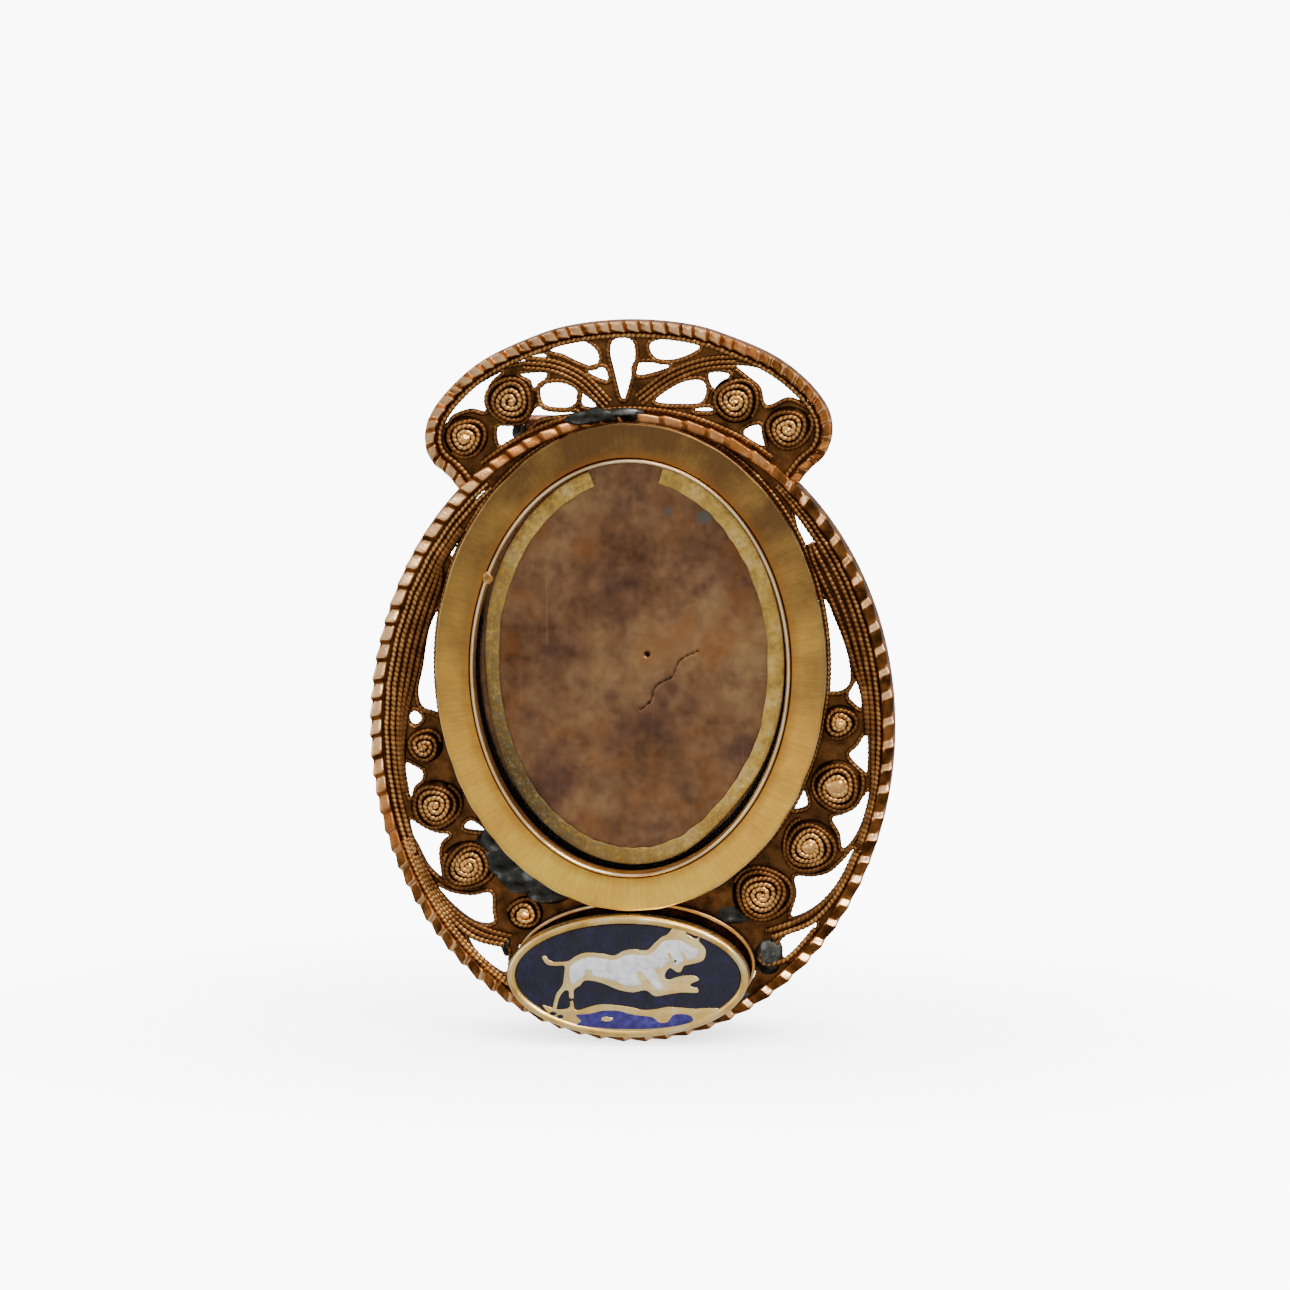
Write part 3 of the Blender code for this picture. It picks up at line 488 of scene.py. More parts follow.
def place(
    name: str, shape: Shape, finish: "Finish", body: Body, nodes: Sequence[str], smooth: bool = True,
) -> bpy.types.Object:
    """Make a piece from a shape, with its tone, UV map, finish, body and the CAD nodes it stands for.

    Args:
        name: The piece's name.
        shape: Its surface.
        finish: What it is made of.
        body: What it moves with.
        nodes: CAD nodes that it replaces.
        smooth: Whether its faces are shaded as one smooth surface.

    Returns:
        The piece.
    """
    mesh = bpy.data.meshes.new(name)
    place_of = np.stack([shape.points[:, 0], -shape.points[:, 2], shape.points[:, 1]], -1) * MM
    loops = np.concatenate([shape.quads.ravel(), shape.tris.ravel()])
    starts = np.concatenate([np.arange(len(shape.quads)) * 4, len(shape.quads) * 4 + np.arange(len(shape.tris)) * 3])
    mesh.vertices.add(len(place_of))
    mesh.vertices.foreach_set("co", place_of.ravel())
    mesh.loops.add(len(loops))
    mesh.loops.foreach_set("vertex_index", loops)
    mesh.polygons.add(len(starts))
    mesh.polygons.foreach_set("loop_start", starts)
    mesh.update(calc_edges=True)
    mesh.validate()
    made = bmesh.new()
    made.from_mesh(mesh)
    bmesh.ops.recalc_face_normals(made, faces=made.faces)
    made.to_mesh(mesh)
    made.free()
    mesh.polygons.foreach_set("use_smooth", np.full(len(mesh.polygons), smooth))
    mesh.set_sharp_from_angle(angle=math.radians(75))
    mesh.attributes.new("tone", "FLOAT", "POINT").data.foreach_set("value", shape.toned())
    order = np.zeros(len(mesh.loops), int)
    mesh.loops.foreach_get("vertex_index", order)
    mesh.uv_layers.new(name="UVMap").data.foreach_set("uv", shape.mapped()[order].ravel())
    mesh.materials.append(finish.material())
    piece = bpy.data.objects.new(name, mesh)
    bpy.context.scene.collection.objects.link(piece)
    if nodes:
        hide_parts(*nodes)
    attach(piece, body.value)
    LOG.info("%s: %d triangles", name, 2 * len(shape.quads) + len(shape.tris))
    return piece


def linear(hex_colour: str) -> tuple[float, float, float, float]:
    """Linear RGBA of an sRGB hex colour."""
    parts = [int(hex_colour[i : i + 2], 16) / 255 for i in (0, 2, 4)]
    r, g, b = (c / 12.92 if c <= 0.04045 else ((c + 0.055) / 1.055) ** 2.4 for c in parts)
    return (r, g, b, 1.0)


def add_node(
    tree: bpy.types.NodeTree,
    kind: str,
    values: dict[str | int, object] | None = None,
    out: str | int = 0,
    stops: Sequence[tuple[float, str]] = (),
    **settings: object,
) -> Socket:
    """Add a shader node.

    Args:
        tree: The material's nodes.
        kind: The node's type, without its first word.
        values: What goes into its sockets, values or the outputs of other nodes.
        out: Which output is wanted.
        stops: Places and hex colours along it, for a colour ramp.
        settings: Its properties.

    Returns:
        The output.
    """
    node = tree.nodes.new("ShaderNode" + kind)
    for key, value in settings.items():
        setattr(node, key, value)
    for socket, value in (values or {}).items():
        if isinstance(value, Socket):
            tree.links.new(value, node.inputs[socket])
        else:
            node.inputs[socket].default_value = value
    if stops:
        elements = node.color_ramp.elements
        elements.remove(elements[1])
        elements[0].position, elements[0].color = stops[0][0], linear(stops[0][1])
        for where, colour in stops[1:]:
            elements.new(where).color = linear(colour)
    return node.outputs[out]


def per_metre(size: float) -> float:
    """Texture scale on Object coordinates for a pattern of that size in millimetres."""
    return 1 / (size * MM)


def grain(vector: Socket, size: float, detail: float) -> dict[str, object]:
    """Settings of a noise whose features are a size in millimetres, with so many octaves of detail."""
    return {"Vector": vector, "Scale": per_metre(size), "Detail": detail, "Roughness": 0.6}


def swayed(tree: bpy.types.NodeTree, value: Socket | float, cloud: Socket, swing: float) -> Socket:
    """Move a value by noise: value + (cloud - 0.5) * 4 * swing, kept from 0 to 1.

    Args:
        tree: The material's nodes.
        value: What is moved.
        cloud: Noise about a half.
        swing: How far, at most.

    Returns:
        The moved value.
    """
    spread = {"Value": cloud, "From Min": 0.25, "From Max": 0.75, "To Min": -swing, "To Max": swing}
    return add_node(tree, "Math", {0: value, 1: add_node(tree, "MapRange", spread)}, operation="ADD", use_clamp=True)


def stained(
    tree: bpy.types.NodeTree, base: Socket, mask: Socket, ends: tuple[float, float], most: float, stain: str,
) -> Socket:
    """Lay a colour over another, from none where the mask is at its first end to most of it at its second.

    Args:
        tree: The material's nodes.
        base: The colour below.
        mask: What the stain follows.
        ends: Its two ends.
        most: Greatest share of the stain.
        stain: The stain's hex colour.

    Returns:
        The stained colour.
    """
    share = add_node(tree, "MapRange", {"Value": mask, "From Min": ends[0], "From Max": ends[1], "To Max": most})
    return add_node(tree, "Mix", {0: share, 6: base, 7: linear(stain)}, 2, data_type="RGBA")


@dataclass(frozen=True)
class Finish:
    """A worn, patinated metal: dark in the hollows, partly from patina and partly from painted shade, bare metal on the
    crests, mottled between.

    The tone attribute runs from hollow (0) to crest (1) and picks the colour; on the notched strips, the wires and the
    copper plate it also carries painted light and shade; a piece without it has one even tone.
    Roughness is given at hollow and crest, and the sizes of mottling and pits and the relief's depth in millimetres.
    """

    name: str
    hollow: str
    body: str
    crest: str
    rough: tuple[float, float] = (0.5, 0.3)
    mottle: float = 0.5
    swing: float = 0.35
    pits: float = 0.09
    relief: float = 0.012
    metallic: float = 1.0
    even: float | None = None

    def material(self) -> bpy.types.Material:
        """The material, made once."""
        found = bpy.data.materials.get(self.name)
        if found:
            return found
        made = bpy.data.materials.new(self.name)
        made.use_nodes = True
        tree = made.node_tree
        shader = tree.nodes["Principled BSDF"]
        shader.inputs["Metallic"].default_value = self.metallic
        self.dress(tree, shader)
        return made

    def feed(
        self, tree: bpy.types.NodeTree, shader: bpy.types.Node, colour: Socket, sheen: Socket, height: Socket,
    ) -> None:
        """Give the shader its colour, roughness and relief.

        Args:
            tree: The material's nodes.
            shader: Its Principled shader.
            colour: The colour.
            sheen: What the roughness follows from its first value to its second.
            height: What the relief follows.
        """
        gloss = add_node(tree, "MapRange", {"Value": sheen, "To Min": self.rough[0], "To Max": self.rough[1]})
        relief = add_node(tree, "Bump", {"Height": height, "Distance": self.relief * MM, "Strength": 1.0})
        for socket, output in (("Base Color", colour), ("Roughness", gloss), ("Normal", relief)):
            tree.links.new(output, shader.inputs[socket])

    def dress(self, tree: bpy.types.NodeTree, shader: bpy.types.Node) -> None:
        """Add the nodes for colour, roughness and relief.

        Args:
            tree: The material's nodes.
            shader: Its Principled shader.
        """
        spot = add_node(tree, "TexCoord", out="Object")
        tone = self.even or add_node(tree, "Attribute", out="Fac", attribute_name="tone")
        tone = swayed(tree, tone, add_node(tree, "TexNoise", grain(spot, self.mottle, 4.0)), self.swing)
        stops = [(0.02, self.hollow), (0.45, self.body), (0.95, self.crest)]
        colour = add_node(tree, "ValToRGB", {"Fac": tone}, stops=stops)
        self.feed(tree, shader, colour, tone, add_node(tree, "TexNoise", grain(spot, self.pits, 3.0)))


@dataclass(frozen=True)
class BezelGold(Finish):
    """Rolled gold of the flange: painted shade makes it olive at the top and the right, painted light makes it yellow
    below, finely scratched across.
    """

    # The top colour is painted shade, the low one painted light, and the orange one a painted reflection beside the
    # lip.
    top: str = "70502E"
    low: str = "FFCE54"
    rust_and_reflection: str = "9A5A24"
    reach: float = 12.3
    scratches: tuple[float, float] = (10 / 83, 10 / 6)

    def dress(self, tree: bpy.types.NodeTree, shader: bpy.types.Node) -> None:
        """Add a colour that follows height and side as painted light and shade, cross scratches, an orange band beside
        the lip that is a painted reflection, and a painted highlight on the outer edge.
        """
        spot = add_node(tree, "TexCoord", out="Object")
        uv = add_node(tree, "UVMap", uv_map="UVMap")
        across = add_node(tree, "SeparateXYZ", {"Vector": uv}, "Y")
        height = add_node(tree, "SeparateXYZ", {"Vector": spot}, "Z")
        side = add_node(tree, "SeparateXYZ", {"Vector": spot}, "X")
        # Painted light and shade: darker towards the top and the right, brighter below.
        down = add_node(
            tree, "MapRange", {"Value": height, "From Min": self.reach * MM, "From Max": -self.reach * MM},
        )
        lean = add_node(
            tree, "MapRange",
            {"Value": side, "From Min": -10 * MM, "From Max": 10 * MM, "To Min": 0.0, "To Max": -0.1},
        )
        share = add_node(tree, "Math", {0: down, 1: lean}, operation="ADD")
        share = swayed(tree, share, add_node(tree, "TexNoise", grain(spot, self.mottle, 4.0)), 0.22)
        stops = [(0.0, self.top), (0.35, self.hollow), (0.7, self.body), (1.0, self.low)]
        colour = add_node(tree, "ValToRGB", {"Fac": share}, stops=stops)
        close, long = (10 / size for size in self.scratches)
        wave = add_node(tree, "Mapping", {"Vector": uv, "Scale": (close, long, 1.0)})
        lines = add_node(
            tree, "TexNoise", {"Vector": wave, "Scale": 1.0, "Detail": 5.0, "Roughness": 0.7, "Distortion": 0.6},
        )
        streak = add_node(
            tree, "MapRange", {"Value": lines, "From Min": 0.3, "From Max": 0.7, "To Min": 0.84, "To Max": 1.12},
        )
        colour = add_node(tree, "Mix", {0: 1.0, 6: colour, 7: streak}, 2, data_type="RGBA", blend_type="MULTIPLY")
        # A painted reflection in orange patches beside the lip, and a painted highlight along the outer edge, brighter
        # lower down.
        inner = add_node(tree, "MapRange", {"Value": across, "From Min": -0.075, "From Max": -0.125})
        outer = add_node(tree, "MapRange", {"Value": across, "From Min": 0.036, "From Max": 0.046})
        patches = add_node(tree, "TexNoise", grain(spot, 1.2, 4.0))
        for edge, spread, tint in ((inner, patches, self.rust_and_reflection), (outer, share, self.crest)):
            part = add_node(tree, "Math", {0: edge, 1: spread}, operation="MULTIPLY")
            colour = add_node(tree, "Mix", {0: part, 6: colour, 7: linear(tint)}, 2, data_type="RGBA")
        self.feed(tree, shader, colour, lines, lines)


@dataclass(frozen=True)
class SpottedCopper(Finish):
    """Tarnished copper of the backing plate: mottled brown, orange and plum, with grey corrosion and fine scratches."""

    scratches: tuple[float, float] = (1 / 9, 1 / 0.18)

    def dress(self, tree: bpy.types.NodeTree, shader: bpy.types.Node) -> None:
        """Add two sizes of mottling, and stains; a tone over 0.7 is corroded, and one near 0 is black: the crack and
        hole, and the painted shade beside the mat.
        """
        spot = add_node(tree, "TexCoord", out="Object")
        tone = add_node(tree, "Attribute", out="Fac", attribute_name="tone")
        cloud, fine, rust_and_reflection, specks = (
            add_node(tree, "TexNoise", grain(spot, size, detail))
            for size, detail in ((self.mottle, 6.0), (0.7, 8.0), (3.1, 3.0), (0.7, 5.0))
        )
        stops = [(0.25, self.hollow), (0.5, self.body), (0.78, self.crest)]
        colour = add_node(tree, "ValToRGB", {"Fac": swayed(tree, cloud, fine, 0.09)}, stops=stops)
        close, long = (per_metre(size) for size in self.scratches)
        slant = add_node(tree, "Mapping", {"Vector": spot, "Rotation": (0.0, 0.9, 0.0), "Scale": (close, 1.0, long)})
        hair = add_node(tree, "TexNoise", {"Vector": slant, "Scale": 1.0, "Detail": 2.0})
        stains = (
            (rust_and_reflection, (0.5, 0.72), 0.6, "9C5E26"),
            (rust_and_reflection, (0.44, 0.32), 0.6, "4E3230"),
            (specks, (0.64, 0.74), 0.7, "5E5146"),
            (hair, (0.66, 0.74), 0.2, "D2B184"),
            (swayed(tree, tone, fine, 0.12), (0.72, 0.86), 1.0, "70665A"),
            # Black where the tone is near 0: the crack and hole, and painted shade beside the mat.
            (tone, (0.45, 0.05), 1.0, "0C0806"),
        )
        for mask, ends, most, stain in stains:
            colour = stained(tree, colour, mask, ends, most, stain)
        self.feed(tree, shader, colour, fine, fine)


@dataclass(frozen=True)
class Verdigris(Finish):
    """Pale gold of the mat, speckled grey-green where damp got in on the left and below."""

    crust: tuple[str, str, str] = ("332A1C", "6A5C40", "A09068")

    def dress(self, tree: bpy.types.NodeTree, shader: bpy.types.Node) -> None:
        """Add a mottled gold, and over it crust that follows the damp and fine noise."""
        spot = add_node(tree, "TexCoord", out="Object")
        side = add_node(tree, "SeparateXYZ", {"Vector": spot}, "X")
        height = add_node(tree, "SeparateXYZ", {"Vector": spot}, "Z")
        lean = add_node(tree, "MapRange", {"Value": side, "From Min": 7 * MM, "From Max": -6 * MM})
        low = add_node(tree, "MapRange", {"Value": height, "From Min": 9 * MM, "From Max": -6 * MM, "To Min": 0.1})
        damp = add_node(tree, "Math", {0: lean, 1: low}, operation="MULTIPLY")
        cloud = add_node(tree, "TexNoise", grain(spot, self.mottle, 5.0))
        fine = add_node(tree, "TexNoise", grain(spot, 0.22, 6.0))
        crusty = swayed(tree, damp, fine, 0.5)
        gold = list(zip((0.3, 0.5, 0.7), (self.hollow, self.body, self.crest)))
        clean = add_node(tree, "ValToRGB", {"Fac": cloud}, stops=gold)
        dull = add_node(tree, "ValToRGB", {"Fac": fine}, stops=list(zip((0.35, 0.5, 0.66), self.crust)))
        colour = add_node(tree, "Mix", {0: crusty, 6: clean, 7: dull}, 2, data_type="RGBA")
        self.feed(tree, shader, colour, crusty, fine)


@dataclass(frozen=True)
class Enamel(Finish):
    """Opaque glass fused in a gold dish: glossy, with bubbles, pits and a cloudy tone."""

    ior: float = 1.45

    def dress(self, tree: bpy.types.NodeTree, shader: bpy.types.Node) -> None:
        """Add cloudy colour, worn dull patches, and pits."""
        spot = add_node(tree, "TexCoord", out="Object")
        cloud = add_node(tree, "TexNoise", grain(spot, self.mottle, 4.0))
        stops = [(0.3, self.hollow), (0.5, self.body), (0.72, self.crest)]
        colour = add_node(tree, "ValToRGB", {"Fac": cloud}, stops=stops)
        shader.inputs["IOR"].default_value = self.ior
        self.feed(tree, shader, colour, cloud, add_node(tree, "TexNoise", grain(spot, self.pits, 2.0)))


@dataclass(frozen=True)
class Glass(Finish):
    """The old crown glass of the pane, thin and a little scratched."""

    ior: float = 1.52
    veil: float = 0.05
    scratches: tuple[float, float] = (0.2, 1 / 0.09)

    def dress(self, tree: bpy.types.NodeTree, shader: bpy.types.Node) -> None:
        """Set clear glass as a mostly see-through gloss, with hair scratches in its roughness."""
        spot = add_node(tree, "TexCoord", out="Object")
        close, long = (per_metre(size) for size in self.scratches)
        slant = add_node(tree, "Mapping", {"Vector": spot, "Rotation": (0.0, 0.5, 0.0), "Scale": (close, 1.0, long)})
        hair = add_node(tree, "TexNoise", {"Vector": slant, "Scale": 1.0, "Detail": 2.0})
        ends = {"From Min": 0.6, "From Max": 0.7, "To Min": self.rough[0], "To Max": self.rough[1]}
        tree.links.new(add_node(tree, "MapRange", {"Value": hair, **ends}), shader.inputs["Roughness"])
        for socket, value in (("Base Color", linear(self.body)), ("Alpha", self.veil), ("IOR", self.ior)):
            shader.inputs[socket].default_value = value


# Eighteen-carat gold strip, filed by hand: its facets painted bright or red-brown by the side they face, a painted
# light and shade.
NOTCHED_GOLD = Finish("notched_gold", "43260F", "B9743A", "FFCB90", (0.48, 0.28), 0.6, 0.16, 0.12, 0.015)
# Fine gold wire, twisted in pairs; black-brown between the strands, partly patina and partly painted shade, orange-gold
# where fingers reach.
TWISTED_WIRE = Finish("twisted_wire", "28170C", "86562C", "F2B86C", (0.52, 0.3), 0.7, 0.2, 0.1, 0.01)
# Rolled gold sheet, satin from fine scratches, with painted shade at its top, painted light below, a painted reflection
# by the lip and a painted highlight on its edge; and the burnished edge of its collar.
FLANGE_GOLD = BezelGold("flange_gold", "AE8442", "ECB04A", "FFF0BC", (0.4, 0.27), 3.0, 0.2, 0.12, 0.008)
LIP_GOLD = Finish("lip_gold", "7A4A20", "CC9450", "FFE8B8", (0.42, 0.24), 1.5, 0.25, 0.15, 0.01)
# Brushed gold of the back lid and the plain case work, softly clouded by handling.
LID_GOLD = Finish("lid_gold", "7A5226", "BE8C46", "E6BE7C", (0.42, 0.26), 4.0, 0.3, 0.2, 0.008)
PLAIN_GOLD = replace(LID_GOLD, name="plain_gold", even=0.42)
# Low-carat pale gold, rubbed bright on its edge.
TRAY_GOLD = Finish("tray_gold", "8A6C3C", "F4C468", "FFEAB0", (0.4, 0.24), 0.9, 0.25, 0.14, 0.012)
# The same gold under the glass, where damp left a dull crust.
MAT_GOLD = Verdigris("verdigris_gold", "B88E42", "EABE5C", "FFE090", (0.4, 0.8), 1.2, 0.3, 0.1, 0.02)
# Copper sheet and tube, tarnished brown and red, dull but for where it is rubbed.
PLATE_COPPER = SpottedCopper("spotted_copper", "432818", "8E6646", "BC9664", (0.55, 0.38), 4.4, 0.3, 0.1, 0.01)
TUBE_COPPER = Finish("red_copper", "2A130B", "7A4630", "C08C68", (0.5, 0.34), 0.8, 0.35, 0.12, 0.02)
PLAIN_COPPER = Finish("plain_copper", "1C0F0A", "5C3626", "A87450", (0.55, 0.36), 0.8, 0.3, 0.12, 0.02, even=0.26)
# Soft tin-lead solder, dull grey and lumpy.
SOLDER = Finish("soft_solder", "1A1917", "45443F", "A8A8A4", (0.55, 0.32), 0.6, 0.3, 0.2, 0.02)
# Enamels, glossy with a few pits and dull worn patches.
NAVY = Enamel("navy_enamel", "06040E", "0D0820", "181236", (0.16, 0.4), 0.5, 0.2, 0.16, 0.02, 0.0)
WHITE = Enamel("white_enamel", "C2BEC0", "E6E2E4", "FAF8FA", (0.2, 0.45), 0.4, 0.2, 0.14, 0.02, 0.0)
BLUE = Enamel("blue_enamel", "20184E", "30266E", "4A3E8C", (0.18, 0.4), 0.4, 0.2, 0.14, 0.02, 0.0)
# Thin old glass: almost clear, with a sharp gloss that shows hair scratches.
PANE = Glass("window_glass", "141414", "141414", "141414", (0.04, 0.3), metallic=0.0)


# The locket's sub-assemblies


@dataclass
class FrameLayout:
    """Sizes that the strips and the filigree share."""

    rim: Extent
    seat: tuple[float, float]
    strip: float = 0.6
    crown_strip: float = 0.55
    crown_half: float = 10.265
    crown_shift: float = -0.18
    crown_rise: float = 4.55

    def at_rim(self, side: Side, degrees: np.ndarray, width: np.ndarray) -> np.ndarray:
        """Points in the side filigree: degrees from the top, and distance in from the rim's inner edge."""
        flat = oval_points(np.radians(degrees), -self.strip - width, self.rim.half, self.rim.middle)
        return flat * np.array([side.value, 1.0])

    def at_crown(self, across: np.ndarray, up: np.ndarray) -> np.ndarray:
        """Points in the crown: share of its half width, and share of its rise above the oval."""
        x = self.crown_shift + across * self.crown_half
        base = self.rim.middle[1] + self.rim.half[1] * np.sqrt(1 - (x / self.rim.half[0]) ** 2)
        return np.stack([x, base + up * self.crown_rise], -1)

    def crown_line(self) -> np.ndarray:
        """The middle line of the crown's strip, from the left shoulder to the right."""
        way = np.array(
            [
                (0.0, 0.94), (0.295, 0.972), (0.517, 1.012), (0.707, 1.088), (0.848, 1.124), (0.94, 1.095),
                (0.964, 0.924), (0.937, 0.64), (0.87, 0.32), (0.83, 0.12), (0.8, -0.04),
            ]
        )
        right = self.at_crown(way[:, 0], way[:, 1])
        left = self.at_crown(-way[1:, 0], way[1:, 1])
        return spline(np.concatenate([left[::-1], right]), steps=14)


@dataclass
class NotchedStrips:
    """The oval strip and the crown strip, on edge, their fronts filed into a sawtooth of slanting notches."""

    layout: FrameLayout
    left_pitch: float = 1.0
    right_pitch: float = 1.24
    notch: float = 0.24
    narrow: float = 0.27
    scallop: float = 0.1
    slant: float = 0.22

    def strip(
        self, line: np.ndarray, closed: bool, width: float, pitches: np.ndarray,
        light: Callable[[np.ndarray], np.ndarray], seed: float,
    ) -> Shape:
        """Carry a notched section along a line.

        Phase 0 is a valley, the narrow facet climbs to its share and the wide one falls back to 1; the front is
        lowered by notch * (1 - height of that sawtooth), and its outer edge drawn in by the scallop times the same.

        Args:
            line: The strip's middle.
            closed: Whether it is a loop.
            width: Its width.
            pitches: Length of each notch, stretched to fill the line.
            light: Gives from 1 to 0, by a point's x and z, how far the wide facets take the painted light and the
                narrow ones the painted shade.
            seed: Shifts the small unevenness.

        Returns:
            The strip.
        """
        fine, run = evenly(line, 0.02, closed)
        total = run[-1] + (run[1] if closed else 0.0)
        edges = np.concatenate([[0.0], np.cumsum(pitches)]) * total / pitches.sum()
        phases = np.array([0.0, 0.03, 0.12, 0.24, self.narrow, 0.31, 0.5, 0.75, 0.96])
        at = (edges[:-1, None] + phases * np.diff(edges)[:, None]).ravel()
        at = at if closed else np.append(at, total)
        track = np.column_stack([fine, sideways(fine, closed)])
        if closed:
            track, run = np.concatenate([track, track[:1]]), np.append(run, total)
        spot, out = np.split(np.stack([np.interp(at, run, column) for column in track.T], -1), 2, axis=1)
        share = np.array([0.5, 0.5, 0.47, 0.36, 0.12, -0.12, -0.36, -0.47, -0.5, -0.5])
        lift = np.array([0.0, 0.75, 0.93, 1.0, 1.0, 1.0, 1.0, 0.93, 0.75, 0.0])
        where = at[:, None] + self.slant * (share * width)[None]
        cell = np.searchsorted(edges, np.mod(where, total + 1e-9), side="right") - 1
        cell = np.clip(cell, 0, len(pitches) - 1)
        phase = np.clip((np.mod(where, total + 1e-9) - edges[cell]) / np.diff(edges)[cell], 0, 1)
        wide = phase > self.narrow
        saw = np.where(wide, (1 - phase) / (1 - self.narrow), phase / self.narrow)
        deep = self.notch * (0.75 + 0.5 * np.mod(np.sin(cell * 12.9 + seed) * 43.7, 1.0))
        top = self.layout.rim.front - deep * (1 - saw) - (1 - lift) * 0.35
        depth = np.where(lift[None] > 0.01, top, self.layout.rim.back)
        drawn_in = self.scallop * (1 - saw) * (share > 0.3) * (lift > 0.5)
        reach = share * width - drawn_in * np.sign(share)
        flat = spot[:, None] + out[:, None] * reach[..., None]
        # Painted light and shade: facets bright or dark by which side of the oval they are on, as light from above
        # falls; over the top of the oval it fades to an even tone.
        bright = light(spot)[:, None]
        soft = np.clip((spot[:, 1] - 8.6) / 2, 0, 1)[:, None] * float(closed)
        tone = np.where(wide, 0.12 + 0.72 * bright, 0.86 - 0.74 * bright)
        tone = tone * (1 - soft) + soft * (0.34 + 0.16 * wide)
        tone = tone + 0.12 * ripple(flat.reshape(-1, 2), 2.3, seed).reshape(saw.shape)
        tone = np.where(lift[None] < 0.9, 0.28 * tone + 0.12, tone)
        return lattice(
            np.concatenate([flat, depth[..., None]], -1), closed, True, np.clip(tone, 0, 1), caps=not closed,
        )

    def build(self) -> None:
        """Make both strips."""
        lay = self.layout
        angle = np.linspace(0, TAU, 1440, endpoint=False)
        line = oval_points(angle, -lay.strip / 2, lay.rim.half, lay.rim.middle)
        span = [self.right_pitch] * 33 + [self.right_pitch * 0.9] * 8 + [self.left_pitch] * 43
        uneven = np.array(span) * (
            1 + 0.16 * np.sin(np.arange(len(span)) * 2.4 + 1.0) * np.cos(np.arange(len(span)) * 0.9)
        )

        def oval_light(spot: np.ndarray) -> np.ndarray:
            """Painted light and shade: wide facets are bright on the left and top, dark on the right."""
            return np.clip(0.5 - spot[:, 0] / 6 + (spot[:, 1] - 9) / 8, 0, 1)

        rim = self.strip(line, True, lay.strip, uneven, oval_light, 0.7)
        place("notched_rim", rim, NOTCHED_GOLD, Body.FRAME, ["oval_rim"], smooth=False)
        arch = lay.crown_line()
        count = 44
        uneven = 1 + 0.15 * np.sin(np.arange(count) * 2.1)
        crown = self.strip(arch[::-1], False, lay.crown_strip, uneven, oval_light, 2.1)
        place("notched_crown", crown, NOTCHED_GOLD, Body.FRAME, ["crown_rim"], smooth=False)


